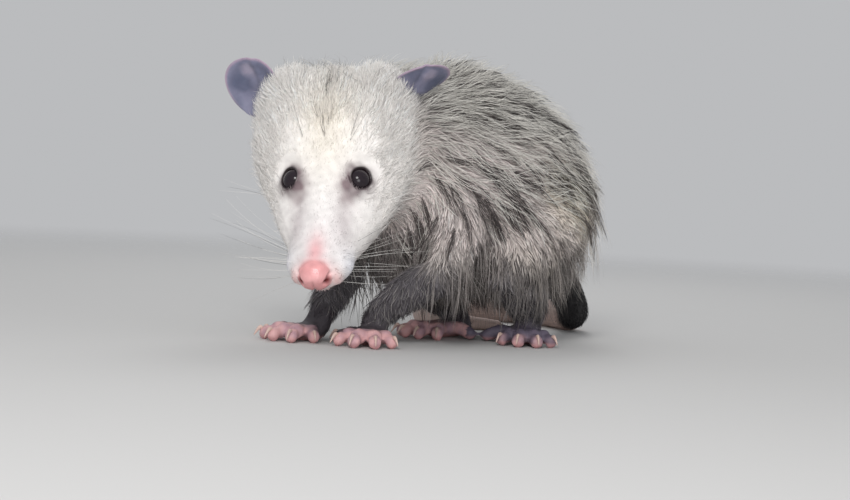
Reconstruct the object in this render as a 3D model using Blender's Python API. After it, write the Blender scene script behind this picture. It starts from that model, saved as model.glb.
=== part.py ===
"""A Virginia opossum as a still, life-size model: crouched, head lowered and turned to its left.

Metres, +Z up. The animal faces -Y and its left side is +X. It rests on Z = 0, on the flats of its four
feet and its tail. Each object is one named part of the body, out to the surface of its coat, and thin
cuts part them. Sizes are written in millimetres and placed through mm().
"""

import math

import bmesh
import bpy
from mathutils import Matrix, Vector

MM = 0.001
CUT_GAP = 0.35 * MM
FLOOR = Vector((0.0, 0.0, 0.0))
UP = Vector((0.0, 0.0, 1.0))
AHEAD = Vector((0.0, -1.0, 0.0))

HEAD_YAW = math.radians(34.0)  # turned from straight ahead to its left
HEAD_PITCH = math.radians(40.0)  # nose below the horizon
HEAD_ROLL = math.radians(4.0)  # its left eye the higher
EYE_MIDDLE = (3.7, -91.8, 90.0)  # mm, the middle of the line under the eyes
EYE_AHEAD = 1.4  # mm, towards the nose
EYE_APART = 18.3  # mm, from the head's middle plane
EYE_RADIUS = 7.0
EYE_HEIGHT = 4.2

CLAW_LENGTH = 4.8
CLAW_RADIUS = 1.35

NOSE = Vector((math.sin(HEAD_YAW) * math.cos(HEAD_PITCH),
               -math.cos(HEAD_YAW) * math.cos(HEAD_PITCH), -math.sin(HEAD_PITCH)))
HEAD_LEFT = Matrix.Rotation(HEAD_ROLL, 3, NOSE) @ Vector((math.cos(HEAD_YAW), math.sin(HEAD_YAW), 0.0))
CROWN = NOSE.cross(HEAD_LEFT)

COLOURS = {
    "white_fur": ((0.80, 0.77, 0.70), 0.9),
    "grey_fur": ((0.42, 0.40, 0.37), 0.9),
    "dark_fur": ((0.10, 0.09, 0.09), 0.9),
    "pink_skin": ((0.86, 0.50, 0.48), 0.5),
    "ear_skin": ((0.26, 0.25, 0.36), 0.5),
    "tail_skin": ((0.66, 0.54, 0.50), 0.6),
    "eye": ((0.02, 0.015, 0.015), 0.1),
    "claw": ((0.72, 0.66, 0.55), 0.4),
}


def mm(x, y, z):
    """A point given in millimetres."""
    return Vector((x, y, z)) * MM


def head_point(along, left, up):
    """A point given in mm from the middle of the eyes: towards the nose, to its left, and to the crown."""
    return mm(*EYE_MIDDLE) + (NOSE * along + HEAD_LEFT * left + CROWN * up) * MM


def clear_scene():
    """Removes whatever the file held."""
    for obj in list(bpy.data.objects):
        bpy.data.objects.remove(obj)


def finish(name):
    """The material of that name."""
    found = bpy.data.materials.get(name)
    if found:
        return found
    colour, roughness = COLOURS[name]
    made = bpy.data.materials.new(name)
    made.use_nodes = True
    shader = made.node_tree.nodes["Principled BSDF"]
    shader.inputs["Base Color"].default_value = (*colour, 1.0)
    shader.inputs["Roughness"].default_value = roughness
    return made


def add_object(name, bm, material):
    """Turns a bmesh into a named object, its faces pointing out."""
    bmesh.ops.recalc_face_normals(bm, faces=bm.faces)
    mesh = bpy.data.meshes.new(name)
    bm.to_mesh(mesh)
    bm.free()
    mesh.shade_smooth()
    mesh.materials.append(finish(material))
    obj = bpy.data.objects.new(name, mesh)
    bpy.context.scene.collection.objects.link(obj)
    return obj


def through(keys, steps):
    """Rows of numbers on a smooth Catmull-Rom curve through the key rows, steps to each span."""
    rows = []
    for i in range(len(keys) - 1):
        before, start = keys[max(i - 1, 0)], keys[i]
        end, after = keys[i + 1], keys[min(i + 2, len(keys) - 1)]
        for step in range(steps):
            t = step / steps
            rows.append([0.5 * (2 * b + (c - a) * t + (2 * a - 5 * b + 4 * c - d) * t * t
                                + (3 * b - a - 3 * c + d) * t ** 3)
                         for a, b, c, d in zip(before, start, end, after)])
    rows.append(list(keys[-1]))
    return rows


def bent(value, power):
    """A cosine or sine bent towards a superellipse, keeping its sign."""
    return math.copysign(abs(value) ** power, value)


def ring_of(bm, centre, across, over, sizes, sides, power):
    """One closed ring of edges: sizes holds the half width and the heights over and under the centre."""
    made = bmesh.ops.create_circle(bm, segments=sides, radius=1.0)["verts"]
    width, top, bottom = sizes
    for vert in made:
        angle = math.atan2(vert.co.y, vert.co.x)
        bend = power if vert.co.y > 0 else 1.0
        side, rise = bent(math.cos(angle), bend), bent(math.sin(angle), bend)
        vert.co = centre + across * width * side + over * (top if rise > 0 else bottom) * rise
    return list({edge for vert in made for edge in vert.link_edges})


def add_tube(bm, keys, hint, sides=16, steps=3, domes=(4.0, 4.0), dome_rings=2):
    """Adds one closed tube with domed ends.

    Each key is x, y, z, half width, height over and height under, in mm, and then the power of the upper
    half's outline, peaked over 1 and boxy under it. hint is the direction that over leans to, and domes
    are how far the two ends bulge, in mm.
    """
    rows = through(keys, steps)
    centres = [mm(*row[:3]) for row in rows]
    sizes = [[size * MM for size in row[3:6]] for row in rows]
    powers = [row[6] if len(row) > 6 else 1.0 for row in rows]
    last = len(rows) - 1
    stations = []
    for i, centre in enumerate(centres):
        tangent = (centres[min(i + 1, last)] - centres[max(i - 1, 0)]).normalized()
        across = tangent.cross(hint).normalized()
        stations.append((centre, tangent, across, across.cross(tangent), sizes[i], powers[i]))
    for bulge, index, sense in ((domes[0], 0, -1.0), (domes[1], -1, 1.0)):
        centre, tangent, across, over, size, power = stations[index]
        for step in range(1, dome_rings + 1):
            angle = 0.5 * math.pi * step / (dome_rings + 0.4)
            capped = (centre + tangent * sense * bulge * MM * math.sin(angle), tangent, across, over,
                      [s * math.cos(angle) for s in size], power)
            stations = [capped] + stations if index == 0 else stations + [capped]
    rings = [ring_of(bm, centre, across, over, size, sides, power)
             for centre, _, across, over, size, power in stations]
    for one, other in zip(rings, rings[1:]):
        bmesh.ops.bridge_loops(bm, edges=one + other)
    for end in (rings[0], rings[-1]):
        bmesh.ops.edgeloop_fill(bm, edges=end)


def tube(name, material, keys, hint, **shape):
    """A tube as an object of its own."""
    bm = bmesh.new()
    add_tube(bm, keys, hint, **shape)
    bmesh.ops.triangulate(bm, faces=bm.faces)
    return add_object(name, bm, material)


def bake(obj):
    """Applies the object's modifiers."""
    bpy.context.view_layer.update()
    graph = bpy.context.evaluated_depsgraph_get()
    mesh = bpy.data.meshes.new_from_object(obj.evaluated_get(graph))
    obj.modifiers.clear()
    obj.data = mesh


def keep_largest(obj):
    """Removes every loose scrap of the mesh but its largest body."""
    bm = bmesh.new()
    bm.from_mesh(obj.data)
    left, bodies = set(bm.verts), []
    while left:
        body, edge = set(), [left.pop()]
        while edge:
            vert = edge.pop()
            body.add(vert)
            near = [e.other_vert(vert) for e in vert.link_edges]
            edge += [v for v in near if v in left]
            left.difference_update(near)
        bodies.append(body)
    bodies.sort(key=len)
    scraps = [vert for body in bodies[:-1] for vert in body]
    bmesh.ops.delete(bm, geom=scraps, context="VERTS")
    bm.to_mesh(obj.data)
    bm.free()


def grown(obj):
    """A helper copy of the object with its surface moved out by the gap."""
    bm = bmesh.new()
    bm.from_mesh(obj.data)
    bm.normal_update()
    moves = [vert.normal * CUT_GAP for vert in bm.verts]
    for vert, move in zip(bm.verts, moves):
        vert.co += move
    return add_object(obj.name + "_cutter", bm, "grey_fur")


def reach(obj):
    """The least and greatest corner of the object's mesh."""
    spots = [vert.co for vert in obj.data.vertices]
    return [[pick(spot[i] for spot in spots) for i in range(3)] for pick in (min, max)]


def boxes_meet(one, other):
    """Whether the boxes round two objects meet."""
    (low, high), (other_low, other_high) = reach(one), reach(other)
    return all(low[i] < other_high[i] and other_low[i] < high[i] for i in range(3))


def separate(parts):
    """Cuts each part back from the parts before it in the list, so that thin gaps part them all."""
    cutters = [grown(part) for part in parts]
    for place, part in enumerate(parts):
        for cutter in cutters[:place]:
            if boxes_meet(part, cutter):
                modifier = part.modifiers.new("part", "BOOLEAN")
                modifier.operation = "DIFFERENCE"
                modifier.solver = "EXACT"
                modifier.object = cutter
                bake(part)
        keep_largest(part)
    for cutter in cutters:
        bpy.data.objects.remove(cutter)


def cut_flat(obj, point, normal):
    """Cuts away what lies past a plane, on the side that its normal points to, and closes the cut."""
    bm = bmesh.new()
    bm.from_mesh(obj.data)
    cut = bmesh.ops.bisect_plane(bm, geom=bm.verts[:] + bm.edges[:] + bm.faces[:], dist=1e-7,
                                 plane_co=point, plane_no=normal, clear_outer=True)
    edges = [item for item in cut["geom_cut"] if isinstance(item, bmesh.types.BMEdge)]
    if edges:
        bmesh.ops.holes_fill(bm, edges=edges)
    bmesh.ops.recalc_face_normals(bm, faces=bm.faces)
    bm.to_mesh(obj.data)
    bm.free()


def join_masses(obj, voxel, triangles, smoothing=4):
    """Makes one smooth body of the closed tubes in a mesh, with about that many triangles."""
    remesh = obj.modifiers.new("join", "REMESH")
    remesh.mode = "VOXEL"
    remesh.voxel_size = voxel * MM
    smooth = obj.modifiers.new("smooth", "SMOOTH")
    smooth.factor = 0.5
    smooth.iterations = smoothing
    bake(obj)
    obj.data.calc_loop_triangles()
    thin = obj.modifiers.new("thin", "DECIMATE")
    thin.ratio = min(1.0, triangles / len(obj.data.loop_triangles))
    bake(obj)
    keep_largest(obj)


def head_keys():
    """The head's sections from nose to nape: place along the head, aside to the fuller left cheek, level
    of the widest line, half width, height over that line, depth under it and how peaked its top is."""
    sections = (
        (55.0, 0.0, -17.6, 12.2, 9.0, 10.0, 1.05),
        (48.5, 0.0, -18.4, 15.4, 11.5, 12.5, 1.1),
        (39.0, 0.0, -18.8, 18.8, 15.8, 15.0, 1.15),
        (27.5, 0.0, -18.6, 23.4, 21.0, 18.5, 1.15),
        (13.5, 0.0, -17.4, 30.8, 25.4, 23.0, 1.15),
        (0.0, 0.3, -15.0, 38.8, 27.5, 28.0, 1.15),
        (-14.0, 0.7, -12.0, 47.0, 33.0, 34.0, 1.0),
        (-28.0, 1.0, -10.0, 51.8, 40.0, 38.0, 0.88),
        (-42.0, 1.0, -8.0, 52.0, 46.5, 39.0, 0.78),
        (-56.0, 1.0, -6.0, 48.5, 49.5, 36.0, 0.74),
        (-68.0, 1.0, -4.0, 41.0, 45.0, 29.0, 0.76),
    )
    return [(*(head_point(along, aside, level) / MM), *shape) for along, aside, level, *shape in sections]


def build_head():
    """Skull and muzzle, with the nose, lower jaw, eyes and ears let into it."""
    head = tube("head", "white_fur", head_keys(), CROWN, sides=18, steps=2, domes=(4.0, 9.0))
    nose_rows = ((51.0, -14.6, 7.4, 5.6, 7.6), (56.0, -16.2, 9.4, 7.8, 9.0), (60.5, -17.8, 8.0, 6.6, 7.6))
    nose = tube("nose", "pink_skin",
                [(*(head_point(along, 0.0, up) / MM), w, t, b) for along, up, w, t, b in nose_rows],
                CROWN, sides=12, steps=2, domes=(2.0, 3.0))
    jaw_rows = ((48.5, -31.2, 6.8, 3.6, 4.6), (38.5, -32.4, 10.5, 3.6, 6.0), (24.5, -34.2, 14.5, 3.6, 7.0),
                (8.0, -38.0, 18.0, 4.0, 7.5), (-8.0, -42.5, 19.0, 4.0, 7.0))
    jaw = tube("lower_jaw", "white_fur",
               [(*(head_point(along, 0.0, up) / MM), w, t, b) for along, up, w, t, b in jaw_rows],
               CROWN, sides=10, steps=2, domes=(3.0, 5.0))
    eyes = [build_eye("eye_left", 1.0), build_eye("eye_right", -1.0)]
    ears = [build_ear("ear_left", 1.0), build_ear("ear_right", -1.0)]
    return [*eyes, *ears, nose, jaw, head]


def build_eye(name, side):
    """One eyeball, its pole along the way it looks."""
    bm = bmesh.new()
    bmesh.ops.create_uvsphere(bm, u_segments=10, v_segments=6, radius=EYE_RADIUS * MM)
    look = NOSE * 0.35 + HEAD_LEFT * side * 0.55 + CROWN * 0.75
    turn = look.to_track_quat("Z", "Y").to_matrix().to_4x4()
    centre = head_point(EYE_AHEAD, side * EYE_APART, EYE_HEIGHT)
    bmesh.ops.transform(bm, matrix=Matrix.Translation(centre) @ turn, verts=bm.verts)
    return add_object(name, bm, "eye")


def build_ear(name, side):
    """One thin, naked ear: a cupped disc that narrows to its root. The left one is turned back."""
    half_width, length, cup, wall = 18.0, 44.0, 8.0, 1.5
    if side > 0:
        root, tip = head_point(-51.0, 31.5, 9.0), head_point(-55.0, 61.5, 39.0)
        facing = NOSE * -0.9 + CROWN * 0.4 - HEAD_LEFT * 0.5
    else:
        root, tip = head_point(-52.0, -34.0, 8.0), head_point(-58.0, -55.0, 43.0)
        facing = NOSE * 0.75 + CROWN * 0.4 - HEAD_LEFT * 0.25
    along = (tip - root).normalized()
    across = along.cross(facing).normalized()
    facing = across.cross(along)
    bm = bmesh.new()
    bmesh.ops.create_grid(bm, x_segments=6, y_segments=6, size=1.0)
    for vert in bm.verts:
        u, v = vert.co.x, vert.co.y
        x = u * math.sqrt(1.0 - 0.5 * v * v)
        y = v * math.sqrt(1.0 - 0.5 * u * u)
        low = 0.5 * (1.0 - y)
        wide = half_width * x * (1.0 - 0.42 * low * low)
        deep = cup * ((0.35 + 0.9 * low) * x * x + 0.25 * y * y)
        vert.co = root + (across * wide + along * length * (1.0 - low) + facing * deep) * MM
    ear = add_object(name, bm, "ear_skin")
    solid = ear.modifiers.new("wall", "SOLIDIFY")
    solid.thickness = wall * MM
    solid.offset = 0.0
    bake(ear)
    return ear


def build_neck():
    """The short neck between the back of the head and the shoulders."""
    keys = ((*(head_point(-56.0, 0.0, -8.0) / MM), 40.0, 40.0, 36.0),
            (-8.0, -40.0, 116.0, 43.0, 46.0, 42.0),
            (0.0, -24.0, 110.0, 47.0, 52.0, 46.0),
            (5.0, -6.0, 103.0, 46.0, 56.0, 46.0))
    return tube("neck", "grey_fur", keys, UP, sides=14, steps=2, domes=(8.0, 8.0))


def build_trunk():
    """Chest, belly and rump, arched over the folded legs."""
    keys = ((8.0, -46.0, 98.0, 34.0, 40.0, 36.0),
            (7.0, -32.0, 97.0, 46.0, 58.0, 46.0),
            (6.0, -8.0, 95.0, 58.0, 71.0, 55.0),
            (6.0, 20.0, 93.0, 63.0, 73.0, 60.0),
            (8.0, 50.0, 88.0, 61.0, 70.0, 58.0),
            (11.0, 76.0, 82.0, 54.0, 61.0, 52.0),
            (14.0, 96.0, 76.0, 43.0, 47.0, 44.0),
            (16.0, 107.0, 71.0, 31.0, 34.0, 33.0))
    return tube("trunk", "grey_fur", keys, UP, sides=16, steps=2, domes=(12.0, 10.0))


def build_tail():
    """The naked tail: black at the root, then pale, laid on the floor behind and to its right."""
    keys = ((15.0, 98.0, 54.0, 14.5, 14.5, 14.5), (15.0, 120.0, 36.0, 13.0, 13.0, 13.0),
            (12.0, 140.0, 18.5, 11.6, 11.6, 11.6), (-1.0, 159.0, 10.2, 10.6, 10.6, 10.6),
            (-27.0, 172.0, 9.2, 9.8, 9.8, 9.8), (-58.0, 171.0, 8.5, 9.0, 9.0, 9.0),
            (-83.0, 152.0, 7.7, 8.2, 8.2, 8.2), (-92.0, 122.0, 6.9, 7.4, 7.4, 7.4),
            (-80.0, 95.0, 6.1, 6.6, 6.6, 6.6), (-56.0, 83.0, 5.2, 5.7, 5.7, 5.7),
            (-33.0, 90.0, 4.2, 4.7, 4.7, 4.7), (-24.0, 108.0, 3.0, 3.5, 3.5, 3.5))
    spans = (("tail_root", 0, 3, "dark_fur"), ("tail_1", 3, 5, "tail_skin"),
             ("tail_2", 5, 8, "tail_skin"), ("tail_3", 8, 11, "tail_skin"))
    lengths = []
    for name, first, last, material in spans:
        lengths.append(tail_length(name, material, keys, first, last))
    return lengths


def tail_length(name, material, keys, first, last):
    """One length of the tail's own curve, from key first to key last, cut square at its ends."""
    steps = 2
    rows = through(keys, steps)
    chosen = rows[first * steps:last * steps + 1]
    margin_rows = rows[max(first * steps - 1, 0):last * steps + 2]
    tip = 3.0 if last == len(keys) - 1 else 0.6
    bm = bmesh.new()
    add_tube(bm, margin_rows, UP, sides=10, steps=1, domes=(0.6, tip), dome_rings=1)
    obj = add_object(name, bm, material)
    ends = []
    if first > 0:
        ends.append((chosen[0], chosen[1]))
    if last < len(keys) - 1:
        ends.append((chosen[-1], chosen[-2]))
    for outer, inner in ends:
        way = (mm(*outer[:3]) - mm(*inner[:3])).normalized()
        cut_flat(obj, mm(*outer[:3]) - way * CUT_GAP * 0.5, way)
    cut_flat(obj, FLOOR, -UP)
    return obj


def finger(root, heading, length, radius, lift):
    """The keys of one toe: it rises to the knuckle and comes down to a blunt tip on the floor."""
    tip = root + heading * length
    middle = root + heading * length * 0.5
    return ((*root[:2], radius + 2.0, radius, radius, radius),
            (*middle[:2], radius + lift, radius * 0.95, radius * 0.95, radius * 0.95),
            (*tip[:2], radius * 0.82, radius * 0.9, radius * 0.88, radius * 0.92))


def turned(degrees):
    """A level direction, turned from straight ahead towards the animal's left."""
    return Matrix.Rotation(math.radians(degrees), 3, "Z") @ AHEAD


def add_claw(name, tip, heading, radius):
    """One curved claw past the end of a toe."""
    root = tip + heading * (radius * 0.55)
    end = root + heading * CLAW_LENGTH
    middle = root + heading * CLAW_LENGTH * 0.55
    keys = ((*root[:2], radius * 1.25, CLAW_RADIUS, CLAW_RADIUS * 1.2, CLAW_RADIUS),
            (*middle[:2], radius * 1.22, CLAW_RADIUS * 0.8, CLAW_RADIUS, CLAW_RADIUS * 0.8),
            (*end[:2], 1.0, 0.35, 0.4, 0.35))
    return tube(name, "claw", keys, UP, sides=5, steps=1, domes=(0.5, 0.2), dome_rings=1)


def build_paw(name, side_name, wrist, heel, ball, toes, radii, thickness, triangles):
    """A fore or hind paw and its claws.

    wrist is where the leg comes in, heel and ball are the ends of the sole, toes hold for each digit its
    name, bearing, length, radius and whether it has a claw, and radii are the sole's half widths.
    """
    heading = (ball - heel).normalized()
    sole = ((*wrist, radii[0], radii[0], radii[0]),
            (*(heel * 0.7 + ball * 0.3)[:2], thickness * 1.15, radii[1], thickness * 1.15, thickness * 1.25),
            (*ball[:2], thickness, radii[2], thickness, thickness * 1.1),
            (*(ball + heading * 3.0)[:2], thickness * 0.9, radii[2] * 0.9, thickness * 0.8, thickness))
    bm = bmesh.new()
    add_tube(bm, sole, UP, sides=12, steps=3, domes=(3.0, 2.5))
    if (heel - ball).length > 30.0:
        back = ((*heel[:2], thickness * 0.95, radii[1] * 0.8, thickness, thickness * 1.05),
                (*(heel * 0.4 + ball * 0.6)[:2], thickness, radii[1], thickness, thickness * 1.1))
        add_tube(bm, back, UP, sides=12, steps=2, domes=(5.0, 3.0))
    claws = []
    for digit, bearing, out, length, radius, has_claw in toes:
        way = turned(bearing)
        root = ball + (way - heading * 0.45) * out
        add_tube(bm, finger(root, way, length, radius, 2.2), UP, sides=10, steps=3, domes=(2.0, radius * 0.8))
        if has_claw:
            claws.append(add_claw(f"claw_{side_name}_{digit}", root + way * length, way, radius))
    paw = add_object(name, bm, "pink_skin")
    join_masses(paw, 1.0, triangles, smoothing=3)
    cut_flat(paw, FLOOR, -UP)
    return [paw, *claws]


def build_foreleg(side):
    """Upper arm, forearm and forepaw of one side: 1 is left, -1 is right."""
    if side > 0:
        word, bearing, thumb = "left", 22.0, -90.0
        shoulder, arm, elbow = (38.0, -16.0, 98.0), (45.0, -25.0, 70.0), (43.0, -34.0, 44.0)
        middle, wrist = (23.0, -41.0, 31.0), (6.0, -47.0, 17.0)
        heel, ball = Vector((7.0, -50.0, 6.0)), Vector((12.5, -61.0, 6.0))
    else:
        word, bearing, thumb = "right", -6.0, -60.0
        shoulder, arm, elbow = (-27.0, -16.0, 98.0), (-35.0, -22.0, 70.0), (-36.0, -30.0, 43.0)
        middle, wrist = (-31.0, -46.0, 29.0), (-24.0, -61.0, 17.0)
        heel, ball = Vector((-24.0, -65.0, 6.0)), Vector((-24.0, -77.0, 6.0))
    upper = tube(f"upper_arm_{word}", "dark_fur",
                 ((*shoulder, 17.0, 24.0, 24.0), (*arm, 16.0, 20.0, 20.0), (*elbow, 14.0, 15.0, 15.0)),
                 AHEAD, sides=10, steps=2, domes=(8.0, 6.0))
    fore = tube(f"forearm_{word}", "dark_fur",
                ((*elbow, 14.0, 14.0, 14.0), (*middle, 14.0, 13.5, 13.5), (*wrist, 10.5, 10.5, 10.5)),
                UP, sides=10, steps=2, domes=(5.0, 4.0))
    toes = [(digit, bearing + side * turn, out, length, radius, True)
            for digit, turn, out, length, radius in (
                ("thumb", thumb, 9.0, 10.5, 3.8), ("2", -27.0, 10.0, 15.0, 4.1), ("3", -1.0, 10.5, 16.5, 4.2),
                ("4", 25.0, 10.5, 16.0, 4.1), ("5", 52.0, 10.0, 13.0, 3.9))]
    paw = build_paw(f"forepaw_{word}", f"fore_{word}", wrist, heel, ball, toes, (8.5, 9.5, 10.5), 5.2, 330)
    return [upper, fore, *paw]


def build_hindleg(side):
    """Thigh, shank and hind paw of one side: 1 is left, -1 is right."""
    if side > 0:
        word, bearing = "left", 36.0
        hip, thigh, knee = (36.0, 78.0, 80.0), (51.0, 44.0, 69.0), (55.0, 9.0, 50.0)
        shin, ankle = (48.0, 37.0, 31.0), (34.0, 64.0, 17.0)
        heel, ball = Vector((27.0, 72.0, 6.0)), Vector((46.0, 43.0, 6.0))
    else:
        word, bearing = "right", 4.0
        hip, thigh, knee = (-18.0, 76.0, 80.0), (-35.0, 45.0, 69.0), (-42.0, 10.0, 50.5)
        shin, ankle = (-33.0, 30.0, 32.0), (-18.0, 52.0, 17.0)
        heel, ball = Vector((-14.0, 57.0, 6.0)), Vector((-6.0, 22.0, 6.0))
    upper = tube(f"thigh_{word}", "grey_fur",
                 ((*hip, 30.0, 36.0, 36.0), (*thigh, 25.0, 33.0, 33.0), (*knee, 17.0, 21.0, 21.0)),
                 UP, sides=14, steps=2, domes=(16.0, 10.0))
    shank = tube(f"shank_{word}", "dark_fur",
                 ((*knee, 15.0, 17.0, 17.0), (*shin, 14.0, 17.0, 17.0), (*ankle, 10.5, 11.5, 11.5)),
                 AHEAD, sides=10, steps=2, domes=(6.0, 5.0))
    toes = [(digit, bearing + side * turn, out, length, radius, clawed)
            for digit, turn, out, length, radius, clawed in (
                ("thumb", -88.0, 9.0, 15.0, 4.7, False), ("2", -31.0, 11.0, 16.0, 4.2, True),
                ("3", -8.0, 11.5, 17.5, 4.3, True), ("4", 14.0, 11.5, 17.0, 4.3, True),
                ("5", 38.0, 11.0, 14.5, 4.1, True))]
    paw = build_paw(f"hindpaw_{word}", f"hind_{word}", ankle, heel, ball, toes, (9.0, 9.5, 11.0), 5.4, 320)
    return [upper, shank, *paw]


def stand_at_origin(parts):
    """Moves every part so that the middle of the model's box stands over the origin."""
    bpy.context.view_layer.update()
    corners = [vert.co for part in parts for vert in part.data.vertices]
    middle = [0.5 * (min(c[i] for c in corners) + max(c[i] for c in corners)) for i in (0, 1)]
    move = Matrix.Translation(Vector((-middle[0], -middle[1], 0.0)))
    for part in parts:
        part.data.transform(move)
    print("moved by", [round(-m / MM, 2) for m in middle], "mm")


def build():
    """Builds the animal, part by part, and parts what overlaps: the first in the list stay whole."""
    clear_scene()
    forelegs = [build_foreleg(side) for side in (1.0, -1.0)]
    hindlegs = [build_hindleg(side) for side in (1.0, -1.0)]
    parts = build_head()
    for _, _, paw, *claws in (*forelegs, *hindlegs):
        parts += [*claws, paw]
    parts += [leg[0] for leg in hindlegs] + [leg[1] for leg in hindlegs]
    parts.append(build_trunk())
    parts += [leg[0] for leg in forelegs] + [leg[1] for leg in forelegs]
    parts += [*build_tail(), build_neck()]
    separate(parts)
    stand_at_origin(parts)


build()
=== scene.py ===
"""A life-size Virginia opossum, standing with its head low and turned: skin, coat, eyes, ears, whiskers, claws."""

import logging
import math
from collections.abc import Callable
from dataclasses import dataclass, field
from enum import Enum

import bmesh
import bpy
import numpy as np
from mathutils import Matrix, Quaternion, Vector
from mathutils.bvhtree import BVHTree
from mathutils.kdtree import KDTree


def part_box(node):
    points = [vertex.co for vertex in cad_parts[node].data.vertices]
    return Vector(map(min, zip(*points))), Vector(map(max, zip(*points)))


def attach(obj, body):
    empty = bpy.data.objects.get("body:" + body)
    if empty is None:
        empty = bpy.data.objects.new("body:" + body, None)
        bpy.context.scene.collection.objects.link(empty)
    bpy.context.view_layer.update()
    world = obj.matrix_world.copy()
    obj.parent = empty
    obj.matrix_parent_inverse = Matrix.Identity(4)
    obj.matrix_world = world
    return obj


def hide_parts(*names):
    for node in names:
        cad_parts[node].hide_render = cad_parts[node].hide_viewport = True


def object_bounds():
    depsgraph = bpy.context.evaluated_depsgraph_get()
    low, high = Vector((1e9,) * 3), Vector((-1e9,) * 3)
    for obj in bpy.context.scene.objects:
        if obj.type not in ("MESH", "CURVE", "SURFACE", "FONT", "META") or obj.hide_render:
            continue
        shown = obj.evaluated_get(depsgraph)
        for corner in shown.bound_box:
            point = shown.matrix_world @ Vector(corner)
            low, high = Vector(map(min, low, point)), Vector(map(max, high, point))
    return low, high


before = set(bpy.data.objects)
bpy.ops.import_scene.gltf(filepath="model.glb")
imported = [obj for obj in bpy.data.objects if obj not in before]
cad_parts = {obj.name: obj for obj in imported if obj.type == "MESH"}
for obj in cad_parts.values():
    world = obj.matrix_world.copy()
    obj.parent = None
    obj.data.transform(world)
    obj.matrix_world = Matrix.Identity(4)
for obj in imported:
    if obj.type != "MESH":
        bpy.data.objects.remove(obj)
CAD_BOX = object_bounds()
LOG = logging.getLogger("opossum")

MM = 0.001
UP = np.array((0.0, 0.0, 1.0))
BODY = "root"
# Vertex colour attribute: the animal's pattern, with painted shade and a painted highlight mixed in.
COLOUR = "markings"
BAKE_MAP = "OFBake"
PATCH = 0.003
SHIFT = np.array((11.89, -27.99, 0.0))  # mm, from the solids' own plan to the frame
EARS = (((-52.0, -34.0, 8.0), (-58.0, -55.0, 43.0), (0.75, -0.25, 0.4)),
        ((-51.0, 31.5, 9.0), (-55.0, 61.5, 39.0), (-0.9, -0.5, 0.4)))  # right and left: root, tip and facing


def tone(red: float, green: float, blue: float) -> np.ndarray:
    """A colour given as a screen shows it, in linear light."""
    seen = np.array((red, green, blue))
    return np.where(seen <= 0.04045, seen / 12.92, ((seen + 0.055) / 1.055) ** 2.4)


def unit(ways: np.ndarray) -> np.ndarray:
    """Vectors cut to length one, along the last axis."""
    return ways / np.maximum(np.linalg.norm(ways, axis=-1, keepdims=True), 1e-12)


def ease(low: float, high: float, values: np.ndarray) -> np.ndarray:
    """A smooth step from 0 at low to 1 at high."""
    part = np.clip((values - low) / (high - low), 0.0, 1.0)
    return part * part * (3.0 - 2.0 * part)


def blot(places: np.ndarray, centre: tuple, size: tuple) -> np.ndarray:
    """A soft spot, 1 at its centre.

    Args:
        places: Points, in mm.
        centre: The spot's middle, in mm.
        size: How far it reaches along each axis, in mm.

    Returns:
        A share from 0 to 1 for each point.
    """
    return np.exp(-(((places - np.array(centre)) / np.array(size)) ** 2).sum(1))


def waves(points: np.ndarray, size: float, seed: int) -> np.ndarray:
    """Smooth noise around 0, mostly within -1 and 1.

    Args:
        points: Points in metres.
        size: About how wide a patch is, in mm.
        seed: Which pattern.

    Returns:
        One value a point.
    """
    rng = np.random.default_rng(seed)
    total = np.zeros(len(points))
    for _ in range(9):
        way = unit(rng.normal(size=3))
        total += np.sin(points @ way * (math.pi * rng.uniform(0.5, 1.7) / (size * MM)) + rng.uniform(0, 6.28))
    return total / 3.0


def blend(first: np.ndarray, second: np.ndarray, share: np.ndarray) -> np.ndarray:
    """Mixes two colours, or rows of them, by a share for each row."""
    return first * (1.0 - share[:, None]) + second * share[:, None]


class Value:
    """A number's socket, so that shader maths reads as an expression."""

    def __init__(self, tree: bpy.types.NodeTree, socket: bpy.types.NodeSocket) -> None:
        """Keeps the tree and the socket."""
        self.tree = tree
        self.socket = socket

    def sum(self, operation: str, *others: "Value | float") -> "Value":
        """Adds one Math node.

        Args:
            operation: What it works out.
            others: The values after this one.

        Returns:
            The node's result.
        """
        made = self.tree.nodes.new("ShaderNodeMath")
        made.operation = operation
        for socket, value in zip(made.inputs, (self, *others)):
            if isinstance(value, Value):
                self.tree.links.new(value.socket, socket)
            else:
                socket.default_value = value
        return Value(self.tree, made.outputs[0])

    def turned(self, operation: str, first: float) -> "Value":
        """A Math node whose first value is a plain number."""
        made = self.sum(operation, 0.0)
        node = made.socket.node
        for link in list(node.inputs[0].links):
            self.tree.links.remove(link)
        node.inputs[0].default_value = first
        self.tree.links.new(self.socket, node.inputs[1])
        return made

    def __add__(self, other: "Value | float") -> "Value":
        """Sum."""
        return self.sum("ADD", other)

    def __sub__(self, other: "Value | float") -> "Value":
        """Difference."""
        return self.sum("SUBTRACT", other)

    def __mul__(self, other: "Value | float") -> "Value":
        """Product."""
        return self.sum("MULTIPLY", other)

    def __rsub__(self, other: float) -> "Value":
        """A number less this value."""
        return self.turned("SUBTRACT", other)

    __radd__ = __add__
    __rmul__ = __mul__


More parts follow.
